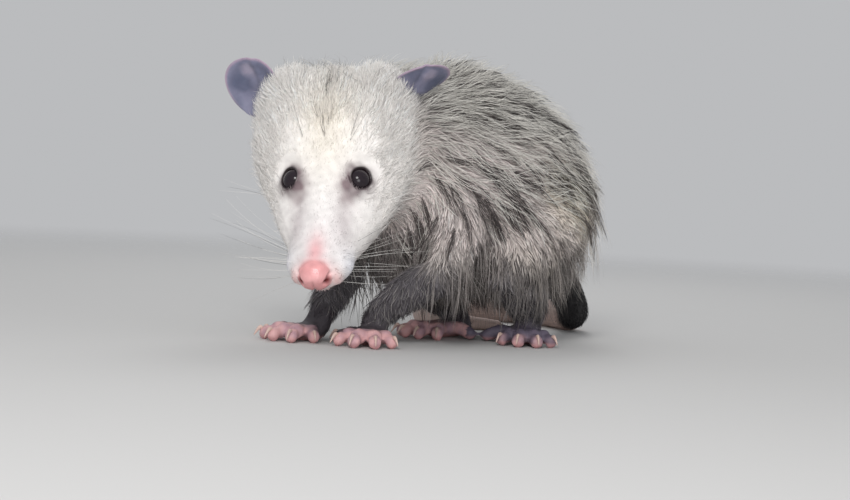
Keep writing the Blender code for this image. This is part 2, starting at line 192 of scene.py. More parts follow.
class Shader:
    """One material and the way its nodes are made."""

    def __init__(self, name: str) -> None:
        """Starts the material with its Principled shader alone."""
        self.material = bpy.data.materials.new(name)
        self.material.use_nodes = True
        self.tree = self.material.node_tree
        self.surface = self.tree.nodes["Principled BSDF"]

    def node(self, kind: str, settings: dict | None = None, inputs: dict | None = None) -> bpy.types.Node:
        """Makes any node but a Math one.

        Args:
            kind: The node's type, without its ShaderNode prefix.
            settings: Its properties, set first; "ramp" holds a ramp's stops.
            inputs: Values, sockets or Value objects for its inputs, by name or number.

        Returns:
            The node.
        """
        made = self.tree.nodes.new("ShaderNode" + kind)
        for name, value in (settings or {}).items():
            if name == "ramp":
                stops = made.color_ramp.elements
                for _ in range(len(value) - len(stops)):
                    stops.new(1.0)
                for stop, (place, colour) in zip(stops, value):
                    stop.position = place
                    stop.color = (*colour, 1.0)
            else:
                setattr(made, name, value)
        for name, value in (inputs or {}).items():
            self.feed(made.inputs[name], value)
        return made

    def feed(self, socket: bpy.types.NodeSocket, value: object) -> None:
        """Links or sets one input socket."""
        if isinstance(value, Value):
            self.tree.links.new(value.socket, socket)
        elif isinstance(value, bpy.types.NodeSocket):
            self.tree.links.new(value, socket)
        else:
            socket.default_value = value

    def value(self, kind: str, output: str, settings: dict | None = None, inputs: dict | None = None) -> Value:
        """A node's numeric output, ready for maths."""
        return Value(self.tree, self.node(kind, settings, inputs).outputs[output])

    def field(self, name: str, output: str = "Fac") -> Value:
        """One of the piece's own attributes."""
        return self.value("Attribute", output, {"attribute_name": name})

    def place(self) -> bpy.types.NodeSocket:
        """Object coordinates."""
        return self.node("TexCoord").outputs["Object"]

    def noise(self, scale: float, detail: float = 3.0) -> Value:
        """Plain noise on Object coordinates, with `scale` patches in a metre."""
        return self.value("TexNoise", "Fac", None, {"Vector": self.place(), "Scale": scale, "Detail": detail})

    def mix(self, share: object, first: object, second: object, how: str = "MIX") -> bpy.types.NodeSocket:
        """A Mix node for colours.

        Args:
            share: The factor, a number or a Value.
            first: The colour at 0.
            second: The colour at 1.
            how: The blend type.

        Returns:
            The mixed colour's socket.
        """
        made = self.node("Mix", {"data_type": "RGBA", "blend_type": how})
        self.feed(made.inputs[0], share)
        self.feed(made.inputs[6], first)
        self.feed(made.inputs[7], second)
        return made.outputs[2]

    def bump(self, height: Value, depth_mm: float, strength: float = 1.0) -> None:
        """Feeds the Normal through a Bump node."""
        made = self.node("Bump", None, {"Height": height, "Distance": depth_mm * MM, "Strength": strength})
        self.feed(self.surface.inputs["Normal"], made.outputs["Normal"])

    def set(self, **inputs: object) -> None:
        """Sets or links the Principled shader's inputs, with spaces written as underscores."""
        for name, value in inputs.items():
            self.feed(self.surface.inputs[name.replace("_", " ")], value)


@dataclass(frozen=True)
class SkinFinish:
    """Bare and short-haired skin, coloured by its vertex colours (the pattern, with painted shade and a painted
    highlight mixed in), with ring scales on the tail.
    """

    ring: float = 1.5
    grain: float = 1500.0

    def make(self) -> bpy.types.Material:
        """Makes the material."""
        made = Shader("opossum_skin")
        fine, coarse = made.noise(self.grain, 2.0), made.noise(260.0)
        shade = made.mix(0.2, made.field(COLOUR, "Color").socket,
                         made.node("ValToRGB", {"ramp": ((0.3, (0.62, 0.58, 0.6)), (0.7, (1.0, 1.0, 1.0)))},
                                   {"Fac": coarse}).outputs["Color"], "MULTIPLY")
        tail = made.field("tail")
        cell = made.node("CombineXYZ", None, {"X": made.field("tail_along") * (1.0 / self.ring),
                                               "Y": made.field("tail_round") * (0.8 / self.ring)})
        scale = made.value("TexVoronoi", "Distance", {"distance": "CHEBYCHEV"},
                           {"Vector": cell.outputs[0], "Scale": 1.0, "Randomness": 0.25})
        ringed = made.mix(tail * scale, shade, (0.30, 0.24, 0.22, 1.0), "MIX")
        wet = made.field("wet")
        made.set(Base_Color=ringed, Roughness=0.62 - wet * 0.42, Specular_IOR_Level=0.45)
        made.bump(fine * 0.45 + coarse * 0.3 - scale * tail * 0.9, 0.5, 0.8)
        return made.material


@dataclass(frozen=True)
class CoatFinish:
    """Hair, coloured strand by strand by its vertex colours: the pattern, with painted shade at the roots."""

    name: str
    roughness: float = 0.62
    gloss: float = 0.3

    def make(self) -> bpy.types.Material:
        """Makes the material, or finds it."""
        found = bpy.data.materials.get(self.name)
        if found:
            return found
        made = Shader(self.name)
        made.set(Base_Color=made.field(COLOUR, "Color").socket, Specular_IOR_Level=self.gloss,
                 Roughness=self.roughness + made.noise(900.0, 1.0) * 0.12)
        return made.material


@dataclass(frozen=True)
class EarFinish:
    """Thin, naked ear skin, finely wrinkled."""

    roughness: float = 0.5

    def make(self) -> bpy.types.Material:
        """Makes the material."""
        made = Shader("ear_skin_bare")
        fine, fold = made.noise(1400.0, 2.0), made.noise(330.0, 4.0)
        base = made.mix(0.3, made.field(COLOUR, "Color").socket,
                        made.node("ValToRGB", {"ramp": ((0.35, (0.66, 0.66, 0.70)), (0.65, (1.0, 1.0, 1.0)))},
                                  {"Fac": fold}).outputs["Color"], "MULTIPLY")
        made.set(Base_Color=base, Roughness=self.roughness + fine * 0.15, Subsurface_Weight=0.06,
                 Subsurface_Radius=(0.003, 0.0012, 0.001), Specular_IOR_Level=0.35)
        made.bump(fine * 0.4 + fold * 0.8, 0.45, 0.7)
        return made.material


@dataclass(frozen=True)
class EyeFinish:
    """A wet, nearly black eye with a trace of brown in noisy patches."""

    def make(self) -> bpy.types.Material:
        """Makes the material."""
        made = Shader("eye_wet_black")
        brown = made.mix(made.noise(700.0), (0.010, 0.008, 0.013, 1.0), (0.028, 0.018, 0.022, 1.0))
        made.set(Base_Color=brown, Roughness=0.16, Coat_Weight=0.10, Coat_Roughness=0.03, Specular_IOR_Level=0.25)
        return made.material


@dataclass(frozen=True)
class ClawFinish:
    """Pale horn, streaked along the claw."""

    def make(self) -> bpy.types.Material:
        """Makes the material."""
        made = Shader("claw_horn")
        streak = made.noise(1800.0, 2.0)
        horn = made.mix(streak, (*tone(0.90, 0.81, 0.76), 1.0), (*tone(0.70, 0.56, 0.52), 1.0))
        made.set(Base_Color=horn, Roughness=0.35, Specular_IOR_Level=0.5)
        made.bump(streak, 0.12, 0.5)
        return made.material


@dataclass(frozen=True)
class FloorFinish:
    """Matt, pale studio paper that melts into the background far from the animal."""

    shade: tuple[float, float, float] = (0.60, 0.597, 0.59)
    near: float = 0.45
    far: float = 2.0

    def make(self) -> bpy.types.Material:
        """Makes the material."""
        made = Shader("studio_paper")
        away = made.node("VectorMath", {"operation": "LENGTH"}, {0: made.place()}).outputs["Value"]
        fade = made.value("MapRange", "Result", {"interpolation_type": "SMOOTHSTEP"},
                          {"Value": away, "From Min": self.near, "From Max": self.far, "To Min": 1.0, "To Max": 0.0})
        made.set(Base_Color=(*self.shade, 1.0), Roughness=0.9, Specular_IOR_Level=0.1, Alpha=fade)
        return made.material


class Part(Enum):
    """The parts of the body, and the solids that each stands for."""

    HEAD = ("head",)
    NOSE = ("nose",)
    JAW = ("lower_jaw",)
    NECK = ("neck",)
    TRUNK = ("trunk",)
    UPPER_ARM = ("upper_arm_left", "upper_arm_right")
    FOREARM = ("forearm_left", "forearm_right")
    FOREPAW = ("forepaw_left", "forepaw_right")
    THIGH = ("thigh_left", "thigh_right")
    SHANK = ("shank_left", "shank_right")
    HINDPAW = ("hindpaw_left", "hindpaw_right")
    TAIL_ROOT = ("tail_root",)
    TAIL = ("tail_1", "tail_2", "tail_3")


PARTS = list(Part)


@dataclass(frozen=True)
class Lie:
    """How the coat grows on one part: its depth in mm, the way it lies, how far it lifts, and its colour."""

    depth: float
    way: tuple[float, float, float]
    lift: float
    colour: tuple[float, float, float]


LIES = {
    Part.HEAD: Lie(5.0, (0.0, 1.0, 0.0), 0.45, (0.965, 0.95, 0.935)),
    Part.NOSE: Lie(0.0, (0.0, 1.0, 0.0), 0.10, (0.90, 0.61, 0.61)),
    Part.JAW: Lie(1.2, (0.0, 1.0, -0.3), 0.35, (0.93, 0.91, 0.89)),
    Part.NECK: Lie(9.0, (0.0, 1.0, -0.45), 0.62, (0.74, 0.71, 0.69)),
    Part.TRUNK: Lie(11.0, (0.0, 1.0, -0.45), 0.50, (0.78, 0.75, 0.73)),
    Part.UPPER_ARM: Lie(7.0, (0.0, 0.35, -1.0), 0.45, (0.78, 0.75, 0.73)),
    Part.FOREARM: Lie(3.2, (0.0, 0.15, -1.0), 0.35, (0.43, 0.415, 0.43)),
    Part.FOREPAW: Lie(0.3, (0.0, -1.0, -0.3), 0.15, (0.27, 0.25, 0.26)),
    Part.THIGH: Lie(9.0, (0.0, 0.55, -1.0), 0.45, (0.78, 0.75, 0.73)),
    Part.SHANK: Lie(3.4, (0.0, 0.3, -1.0), 0.35, (0.41, 0.395, 0.41)),
    Part.HINDPAW: Lie(0.3, (0.0, -1.0, -0.3), 0.15, (0.32, 0.29, 0.33)),
    Part.TAIL_ROOT: Lie(1.6, (0.0, 0.7, -0.7), 0.35, (0.11, 0.10, 0.11)),
    Part.TAIL: Lie(0.0, (-0.4, 0.5, 0.0), 0.20, (0.80, 0.70, 0.66)),
}

FEET = (  # left and right: the part, its ankle, where bare skin begins and where it is pink, and the darker tone
    (Part.FOREPAW, (6.0, -47.0), 17.0, 29.0, (0.27, 0.25, 0.27)),
    (Part.FOREPAW, (-24.0, -61.0), 17.0, 29.0, (0.27, 0.25, 0.27)),
    (Part.HINDPAW, (34.0, 64.0), 41.0, 56.0, (0.37, 0.34, 0.40)),
    (Part.HINDPAW, (-18.0, 52.0), 20.0, 44.0, (0.30, 0.27, 0.31)),
)


@dataclass
class HeadFrame:
    """The head's own directions, from the two eyes and the turn of the head."""

    yaw: float = 34.0
    pitch: float = 40.0
    roll: float = 4.0
    eye_ahead: float = 1.4
    eye_height: float = 4.2
    eye_radius: float = 7.0
    gaze: tuple[float, float, float] = (0.35, 0.55, 0.75)
    nose: np.ndarray = field(init=False)
    left: np.ndarray = field(init=False)
    crown: np.ndarray = field(init=False)
    middle: np.ndarray = field(init=False)

    def __post_init__(self) -> None:
        """Works the directions out."""
        yaw, pitch = math.radians(self.yaw), math.radians(self.pitch)
        nose = Vector((math.sin(yaw) * math.cos(pitch), -math.cos(yaw) * math.cos(pitch), -math.sin(pitch)))
        left = Quaternion(nose, math.radians(self.roll)) @ Vector((math.cos(yaw), math.sin(yaw), 0.0))
        self.nose, self.left, self.crown = np.array(nose), np.array(left), np.array(nose.cross(left))
        centres = [sum(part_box(node), Vector()) / 2.0 for node in ("eye_left", "eye_right")]
        self.middle = np.array(sum(centres, Vector()) / 2.0)
        self.middle -= (self.crown * self.eye_height + self.nose * self.eye_ahead) * MM

    def local(self, points: np.ndarray) -> np.ndarray:
        """Points as mm towards the nose, to the animal's left and to the crown."""
        return (points - self.middle) @ np.stack((self.nose, self.left, self.crown), axis=1) / MM

    def world(self, place: np.ndarray) -> np.ndarray:
        """A place in the head, or rows of them, in the frame's metres."""
        return self.middle + np.asarray(place, float) @ np.stack((self.nose, self.left, self.crown)) * MM

    def eye(self, side: float, sink: float) -> tuple[np.ndarray, np.ndarray]:
        """One eye's centre and gaze.

        Args:
            side: 1 for the left eye, -1 for the right.
            sink: How far it lies behind its solid, in mm.

        Returns:
            Its centre in the head's mm, and the way it looks in the head's directions.
        """
        gaze = unit(np.array(self.gaze) * (1.0, side, 1.0))
        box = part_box("eye_left" if side > 0 else "eye_right")
        centre = self.local(np.array(sum(box, Vector()) / 2.0)[None])[0]
        return centre - gaze * sink, gaze


def read(data: bpy.types.bpy_prop_collection, name: str, width: int, kind: type = float) -> np.ndarray:
    """Reads one property of a mesh's vertices, edges, loops or triangles as rows."""
    flat = np.empty(len(data) * width, kind)
    data.foreach_get(name, flat)
    return flat.reshape(-1, width) if width > 1 else flat


def claw_line(name: str) -> tuple[np.ndarray, np.ndarray, np.ndarray]:
    """One claw's back end, its point and the way from the one to the other, from its solid."""
    points = read(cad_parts[name].data.vertices, "co", 3)
    centre = points.mean(0)
    axis = np.linalg.svd(points - centre, full_matrices=False)[2][0]
    if (points[:, 2] @ (points @ axis - centre @ axis)) > 0.0:
        axis = -axis
    run = (points - centre) @ axis
    return centre + axis * run.min(), points[run.argmax()], axis


CLAWS = tuple(sorted(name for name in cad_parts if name.startswith("claw_")))


def put_colour(mesh: bpy.types.Mesh, colours: np.ndarray) -> None:
    """Gives each vertex its colour."""
    rows = np.ones((len(colours), 4), np.float32)
    rows[:, :3] = np.clip(colours, 0.0, 1.0)
    mesh.attributes.new(COLOUR, "FLOAT_COLOR", "POINT").data.foreach_set("color", rows.ravel())


def put_number(mesh: bpy.types.Mesh, name: str, values: np.ndarray) -> None:
    """Gives each vertex a number."""
    mesh.attributes.new(name, "FLOAT", "POINT").data.foreach_set("value", values.astype(np.float32))


def show(name: str, mesh: bpy.types.Mesh, material: bpy.types.Material, nodes: tuple = ()) -> bpy.types.Object:
    """Puts a finished mesh in the scene as a piece.

    Args:
        name: The piece's name.
        mesh: Its mesh, in place.
        material: Its finish.
        nodes: The CAD nodes that it stands for.

    Returns:
        The piece.
    """
    mesh.materials.clear()
    mesh.materials.append(material)
    if BAKE_MAP not in mesh.uv_layers:
        mesh.polygons.foreach_set("use_smooth", np.ones(len(mesh.polygons), bool))
    piece = bpy.data.objects.new(name, mesh)
    bpy.context.scene.collection.objects.link(piece)
    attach(piece, BODY)
    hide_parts(*nodes)
    LOG.info("%s: %d vertices, %d faces", name, len(mesh.vertices), len(mesh.polygons))
    return piece


class Surface:
    """A mesh as arrays: its points, neighbours and triangles."""

    def __init__(self, mesh: bpy.types.Mesh) -> None:
        """Reads the mesh."""
        mesh.calc_loop_triangles()
        self.points = read(mesh.vertices, "co", 3)
        self.triangles = read(mesh.loop_triangles, "vertices", 3, int)
        self.corners = read(mesh.loop_triangles, "loops", 3, int)
        edges = read(mesh.edges, "vertices", 2, int)
        both = np.concatenate((edges, edges[:, ::-1]))
        order = np.argsort(both[:, 0], kind="stable")
        self.near = both[order, 1]
        self.starts = np.searchsorted(both[order, 0], np.arange(len(self.points)))
        self.many = np.bincount(both[:, 0], minlength=len(self.points))

    def blur(self, values: np.ndarray, rounds: int, share: float = 0.5) -> np.ndarray:
        """Moves each vertex's value towards the mean of its neighbours'.

        Args:
            values: One value or one row a vertex.
            rounds: How often.
            share: How far each time, one number or one a vertex.

        Returns:
            The smoothed values.
        """
        flat = values.ndim == 1
        rows = values[:, None].astype(float) if flat else values.astype(float)
        part = np.broadcast_to(np.asarray(share, float), (len(rows),))[:, None]
        for _ in range(rounds):
            mean = np.add.reduceat(rows[self.near], self.starts, axis=0) / self.many[:, None]
            rows = rows + (mean - rows) * part
        return rows[:, 0] if flat else rows

    def normals(self) -> np.ndarray:
        """Vertex normals of the points as they are now."""
        a, b, c = (self.points[self.triangles[:, i]] for i in range(3))
        face = np.cross(b - a, c - a)
        total = np.zeros_like(self.points)
        for axis in range(3):
            total[:, axis] = sum(np.bincount(self.triangles[:, i], face[:, axis], len(self.points)) for i in range(3))
        return unit(total)


@dataclass
class Skin:
    """One skin over all the flesh, a coat's depth inside the solids, with its lids, nostrils, lips and scales."""

    head: HeadFrame
    voxel: float = 1.3
    grow: float = 0.4
    smooth_rounds: int = 6
    eye_sink: float = 1.4
    opening: float = 5.45
    surface: Surface = field(init=False)
    mesh: bpy.types.Mesh = field(init=False)
    share: dict = field(init=False)
    depth: np.ndarray = field(init=False)
    flow: np.ndarray = field(init=False)
    lift: np.ndarray = field(init=False)
    hue: np.ndarray = field(init=False)
    lips: np.ndarray = field(init=False)
    bare: np.ndarray = field(init=False)
    rim: np.ndarray = field(init=False)
    halo: np.ndarray = field(init=False)
    place: np.ndarray = field(init=False)
    bake: np.ndarray = field(init=False)

    def build(self) -> None:
        """Makes the skin's mesh, with its fields and colours."""
        self.mesh = self.join()
        self.refine()
        self.surface = Surface(self.mesh)
        local = self.head.local(self.surface.points)
        fine = 0.15 + 0.35 * ease(60.0, 75.0, np.linalg.norm(local, axis=1))
        self.surface.points = self.surface.blur(self.surface.points, self.smooth_rounds, fine + 0.15)
        behind, beside = self.toes(self.surface.points)
        on_toe = ease(20.0, 16.0, behind) * ease(7.0, 5.5, beside)
        self.surface.points = self.surface.blur(self.surface.points, 8, 0.45 * on_toe)
        self.sort()
        self.sink()
        self.sculpt()
        self.lay_flow()
        self.paint()
        self.surface.points[:, 2] = np.maximum(self.surface.points[:, 2], 0.0)
        self.mesh.vertices.foreach_set("co", self.surface.points.ravel())
        self.mesh.update()

    def join(self) -> bpy.types.Mesh:
        """The solids of flesh as one closed mesh."""
        whole = bmesh.new()
        for node in (name for part in PARTS for name in part.value):
            single = bmesh.new()
            single.from_mesh(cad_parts[node].data)
            bmesh.ops.remove_doubles(single, verts=single.verts, dist=0.01 * MM)
            single.normal_update()
            for vert in single.verts:
                vert.co += vert.normal * self.grow * MM
            copy = bpy.data.meshes.new(node + "_copy")
            single.to_mesh(copy)
            single.free()
            whole.from_mesh(copy)
            bpy.data.meshes.remove(copy)
        mesh = bpy.data.meshes.new("flesh")
        whole.to_mesh(mesh)
        whole.free()
        holder = bpy.data.objects.new("flesh", mesh)
        bpy.context.scene.collection.objects.link(holder)
        remesh = holder.modifiers.new("union", "REMESH")
        remesh.mode = "VOXEL"
        remesh.voxel_size = self.voxel * MM
        done = bpy.data.meshes.new_from_object(holder.evaluated_get(bpy.context.evaluated_depsgraph_get()))
        bpy.data.objects.remove(holder)
        return done

    def refine(self) -> None:
        """Cuts the faces finer round the eyes and on the nose."""
        shape = bmesh.new()
        shape.from_mesh(self.mesh)
        self.keep_largest(shape)
        eyes = [self.head.eye(side, self.eye_sink)[0] for side in (1.0, -1.0)]
        for reach in (1.0, 0.72):
            faces = list(shape.faces)
            middles = np.array([face.calc_center_median() for face in faces])
            spots = self.head.local(middles)
            near = np.linalg.norm((spots - (56.0, 0.0, -18.0)) / (1.0, 1.3, 1.0), axis=1) < 12.5 * reach
            for eye in eyes:
                near |= np.linalg.norm(spots - eye, axis=1) < 13.0 * reach
            if reach == 1.0:
                behind, beside = self.toes(middles)
                near |= (behind > -6.0) & (behind < 19.0) & (beside < 6.5)
            chosen = [faces[index] for index in np.flatnonzero(near)]
            edges = list({edge for face in chosen for edge in face.edges})
            bmesh.ops.subdivide_edges(shape, edges=edges, cuts=1, use_grid_fill=True)
        bmesh.ops.triangulate(shape, faces=[face for face in shape.faces if len(face.verts) > 4])
        shape.to_mesh(self.mesh)
        shape.free()
        self.mesh.update()

    @staticmethod
    def toes(points: np.ndarray) -> tuple[np.ndarray, np.ndarray]:
        """How far each point lies behind the nearest toe's claw and beside that toe's middle, in mm."""
        behind, beside = np.full(len(points), 99.0), np.full(len(points), 99.0)
        for name in CLAWS:
            root, _, axis = claw_line(name)
            heading = unit(axis * (1.0, 1.0, 0.0))
            away = (root - points) / MM
            back = away @ heading
            off = abs(away @ np.cross(heading, UP))
            nearer = (off < beside) & (back > -6.0) & (back < 22.0) & (abs(away[:, 2]) < 14.0)
            behind[nearer], beside[nearer] = back[nearer], off[nearer]
        return behind, beside

    @staticmethod
    def keep_largest(shape: bmesh.types.BMesh) -> None:
        """Removes all but the largest connected shell, such as a sealed hollow inside."""
        left, shells = set(shape.verts), []
        while left:
            shell = {left.pop()}
            edge = list(shell)
            while edge:
                vert = edge.pop()
                for link in vert.link_edges:
                    other = link.other_vert(vert)
                    if other in left:
                        left.discard(other)
                        shell.add(other)
                        edge.append(other)
            shells.append(shell)
        shells.sort(key=len)
        spare = [vert for shell in shells[:-1] for vert in shell]
        bmesh.ops.delete(shape, geom=spare, context="VERTS")

    def sort(self) -> None:
        """Finds which part of the body each point belongs to, blurred where parts meet."""
        corners, faces, owner = [], [], []
        for number, part in enumerate(PARTS):
            for node in part.value:
                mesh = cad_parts[node].data
                faces += [[i + len(corners) for i in face.vertices] for face in mesh.polygons]
                corners += [vert.co.copy() for vert in mesh.vertices]
                owner += [number] * len(mesh.polygons)
        tree = BVHTree.FromPolygons(corners, faces)
        found = np.array([owner[tree.find_nearest(Vector(point))[2]] for point in self.surface.points])
        self.lips = self.surface.blur((found == PARTS.index(Part.JAW)).astype(float), 2)
        hard = np.eye(len(PARTS))[found]
        soft, wide = self.surface.blur(hard, 6), self.surface.blur(hard, 45)
        sharp = [PARTS.index(part) for part in (Part.NOSE, Part.JAW)]
        wide[:, sharp] = soft[:, sharp]
        wide /= wide.sum(1, keepdims=True)
        self.share = {part: wide[:, number] for number, part in enumerate(PARTS)}
        self.depth = sum(LIES[part].depth * self.share[part] for part in PARTS)
        self.lift = sum(LIES[part].lift * self.share[part] for part in PARTS)
        joint = np.clip(5.0 * (1.0 - wide.max(1)), 0.0, 1.0) * ease(3.5, 6.5, self.depth)
        self.surface.points = self.surface.blur(self.surface.points, 60, 0.6 * self.surface.blur(joint, 6))
        self.place = self.head.local(self.surface.points)
        along, aside, height = self.place.T
        on_head = self.share[Part.HEAD]
        cheek = ease(21.0, 34.0, abs(aside)) * ease(26.0, 2.0, along)
        nape = ease(-50.0, -68.0, along)
        thin = 2.4 - 1.7 * ease(-38.0, 20.0, along) + 1.6 * cheek + 4.5 * nape
        self.depth += on_head * (thin - LIES[Part.HEAD].depth)
        self.lift += on_head * (0.16 * ease(-6.0, -44.0, along) + 0.14 * cheek + 0.30 * nape - 0.27)
        for side in (1.0, -1.0):
            centre, _ = self.head.eye(side, self.eye_sink)
            gap = np.linalg.norm(self.place - centre, axis=1)
            self.depth = np.minimum(self.depth, 0.7 + 5.0 * ease(8.0, 30.0, gap))

    def sink(self) -> None:
        """Moves the skin in by the coat's depth, in small smoothed steps."""
        steps = 8
        depth = self.surface.blur(self.depth, 8)
        for _ in range(steps):
            normals = self.surface.blur(self.surface.normals(), 4)
            self.surface.points -= unit(normals) * (depth * MM / steps)[:, None]
            self.surface.points = self.surface.blur(self.surface.points, 1, 0.35 * np.clip(depth / 6.0, 0.0, 1.0))

    def sculpt(self) -> None:
        """Shapes the nose, lips, whisker pads, lids and knuckles."""
        strokes = []
        for side in (1.0, -1.0):
            strokes += [((44.0, side * 13.5, -21.0), (6.5, 5.5, 6.5), 3.2),
                        ((28.0, side * 17.0, -15.0), (8.0, 6.5, 9.0), -2.2),
                        ((15.0, side * 14.0, -1.5), (10.0, 6.0, 7.0), -2.6),
                        ((-6.0, side * 16.0, 12.0), (9.0, 8.0, 6.0), 1.0),
                        ((57.0, side * 8.6, -17.8), (3.4, 2.0, 3.2), 0.4),
                        ((53.5, side * 12.0, -22.5), (5.5, 3.5, 6.0), 1.6),
                        ((61.0, side * 6.9, -17.0), (3.0, 1.6, 1.8), -3.0),
                        ((58.0, side * 8.4, -14.4), (3.0, 1.3, 1.1), -1.8)]
            strokes += [((-50.0, side * 29.0, 30.0), (15.0, 12.0, 14.0), 4.0)]
        strokes += [((24.0, 0.0, 1.0), (24.0, 4.5, 8.0), 0.9), ((52.5, 0.0, -9.0), (4.5, 6.5, 3.5), 1.1), ((62.0, 0.0, -18.2), (5.0, 0.7, 4.0), -0.8),
                    ((58.5, 0.0, -25.5), (5.0, 1.0, 3.8), -1.6)]
        for centre, size, push in strokes:
            normals = self.surface.normals()
            amount = blot(self.place, centre, size) * push
            self.surface.points += normals * (amount * MM)[:, None]
        groove = 4.0 * self.lips * (1.0 - self.lips) * ease(-4.0, 8.0, self.place[:, 0])
        self.surface.points -= self.surface.normals() * (groove * 0.9 * MM)[:, None]
        self.lips = groove
        self.rim, self.halo = np.zeros(len(self.place)), np.zeros(len(self.place))
        for side in (1.0, -1.0):
            self.set_lids(side)
        behind, beside = self.toes(self.surface.points)
        swell = sum(push * np.exp(-(((behind - place) / size) ** 2)) for place, size, push in (
            (1.5, 2.6, 0.55), (5.6, 1.5, -0.55), (9.0, 2.4, 0.6), (13.6, 1.6, -0.4)))
        swell *= ease(6.5, 4.5, beside) * (behind < 20.0)
        swell -= 1.1 * ease(3.6, 5.0, beside) * ease(7.5, 5.6, beside) * ease(19.0, 12.0, behind)
        self.surface.points += self.surface.normals() * (self.surface.blur(swell, 2) * MM)[:, None]

    def set_lids(self, side: float) -> None:
        """Opens one eye: a socket behind the ball, a rolled lid round it, and a slope down to the face."""
        centre, gaze = self.head.eye(side, self.eye_sink)
        inward = unit(np.array((0.9, -side * 0.35, -0.25)) - gaze * (np.array((0.9, -side * 0.35, -0.25)) @ gaze))
        across = np.cross(gaze, inward)
        radius = self.head.eye_radius
        local = self.head.local(self.surface.points)
        away = local - centre
        level = away @ gaze
        flat = away - level[:, None] * gaze
        ring = np.linalg.norm(flat, axis=1)
        turn = np.arctan2(flat @ across, flat @ inward)
        edge = self.opening + 1.5 * np.exp(-((turn / 0.38) ** 2)) + 0.5 * np.exp(-(((abs(turn) - 3.14) / 0.5) ** 2))
        ball = np.sqrt(np.maximum(radius ** 2 - np.minimum(ring, radius - 0.5) ** 2, 0.0))
        brow = math.sqrt(radius ** 2 - self.opening ** 2) + 0.75
        lid = brow - 0.30 * np.maximum(ring - edge - 0.9, 0.0) - 0.35 * ((ring - edge - 0.9) / 0.9) ** 2 * (ring < edge + 0.9)
        wanted = np.where(ring < edge, ball - 1.4 + (lid - ball + 1.4) * ease(-0.55, 0.05, ring - edge), lid)
        hold = (1.0 - ease(1.0, 9.0, ring - edge)) * (level > -6.0) * (np.linalg.norm(away, axis=1) < 24.0)
        local += gaze * ((wanted - level) * hold)[:, None]
        self.surface.points = self.head.world(local)
        near = (level > -6.0) * (np.linalg.norm(away, axis=1) < 20.0)
        low = 0.5 + 0.5 * np.cos(turn)
        self.rim = np.maximum(self.rim, near * (1.0 - ease(0.1, 2.3 - 0.5 * low, ring - edge)))
        wide = 5.2 + 4.2 * low + 0.9 * np.sin(3.0 * turn + side)
        self.halo = np.maximum(self.halo, near * (0.75 + 0.25 * low) * (1.0 - ease(0.3, wide, ring - edge)))

    def lay_flow(self) -> None:
        """Works out the way the coat lies: back from the nose on the head, and back and down elsewhere."""
        normals = self.surface.normals()
        way = sum(np.array(LIES[part].way) * self.share[part][:, None] for part in PARTS)
        rump = ease(0.02, 0.07, self.surface.points[:, 1]) * self.share[Part.TRUNK]
        way[:, 2] -= 0.9 * rump
        tip = np.array((63.0, 0.0, -12.0))
        radial = unit(self.place - tip)
        out = np.zeros_like(radial)
        for side in (1.0, -1.0):
            centre, _ = self.head.eye(side, self.eye_sink)
            away = self.place - centre
            gap = np.linalg.norm(away, axis=1)
            out += unit(away) * (np.exp(-(np.maximum(gap - 6.0, 0.0) / 4.0)) * 1.2)[:, None]
        low = ease(-10.0, -34.0, self.place[:, 2]) * ease(20.0, -20.0, self.place[:, 0])
        radial = unit(radial + out)
        turned = radial @ np.stack((self.head.nose, self.head.left, self.head.crown))
        turned[:, 2] -= 0.5 * low
        on_head = np.clip(self.share[Part.HEAD] + self.share[Part.NOSE] + self.share[Part.JAW], 0.0, 1.0)
        way = blend(unit(way), turned, on_head)
        swirl = np.stack([waves(self.surface.points, 22.0, 30 + axis) for axis in range(3)], axis=1)
        way += swirl * (0.10 + 0.12 * (1.0 - on_head))[:, None]
        way -= normals * (way * normals).sum(1, keepdims=True)
        self.flow = unit(self.surface.blur(unit(way), 4))

    def paint(self) -> None:
        """Colours every point: the pattern that skin and coat share, with painted shade in the nostrils, in the mouth's
        groove, where the ears leave the head, on the muzzle's sides and between wet clumps on the trunk, and a painted
        highlight on the nose.
        """
        points, place = self.surface.points, self.place
        along, aside, height = place.T
        hue = sum(tone(*LIES[part].colour) * self.share[part][:, None] for part in PARTS)
        on_head = np.clip(self.share[Part.HEAD] + self.share[Part.JAW], 0.0, 1.0)
        brow = blot(place, (-20.0, 0.0, 18.0), (26.0, 16.0, 24.0)) * on_head
        hue = blend(hue, tone(0.94, 0.90, 0.82), 0.6 * brow)
        muzzle = blot(place, (40.0, 0.0, -12.0), (28.0, 20.0, 22.0)) * on_head
        hue = blend(hue, tone(0.91, 0.89, 0.89), 0.85 * muzzle)
        lip = blot(place, (53.0, 0.0, -30.5), (7.0, 10.0, 4.0)) * on_head
        hue = blend(hue, tone(0.88, 0.66, 0.66), 0.6 * lip)
        bridge = np.maximum(blot(place, (48.0, 0.0, -7.0), (11.0, 5.0, 7.0)),
                            blot(place, (55.0, 0.0, -11.0), (6.0, 8.0, 5.5)))
        hue = blend(hue, tone(0.92, 0.68, 0.69), 0.85 * bridge)
        around = np.clip(2.0 * self.surface.blur(self.share[Part.NOSE], 40), 0.0, 1.0)
        hue = blend(hue, tone(0.91, 0.64, 0.64), 0.75 * around)
        # Painted highlight: a paler pink spot on the top of the nose pad.
        painted_highlight = blot(place, (61.0, 0.0, -13.5), (5.0, 6.0, 2.6))
        hue = blend(hue, tone(0.95, 0.74, 0.74), 0.7 * painted_highlight)
        stripe = np.exp(-((aside / 3.2) ** 2)) * ease(-2.0, -14.0, along) * ease(-66.0, -44.0, along) * on_head
        hue = blend(hue, tone(0.50, 0.47, 0.45), 0.08 * stripe)
        back = ease(-52.0, -72.0, along + 5.0 * waves(points, 7.0, 31)) * on_head
        hue = blend(hue, tone(0.66, 0.63, 0.60), 0.85 * back)
        for side in (1.0, -1.0):
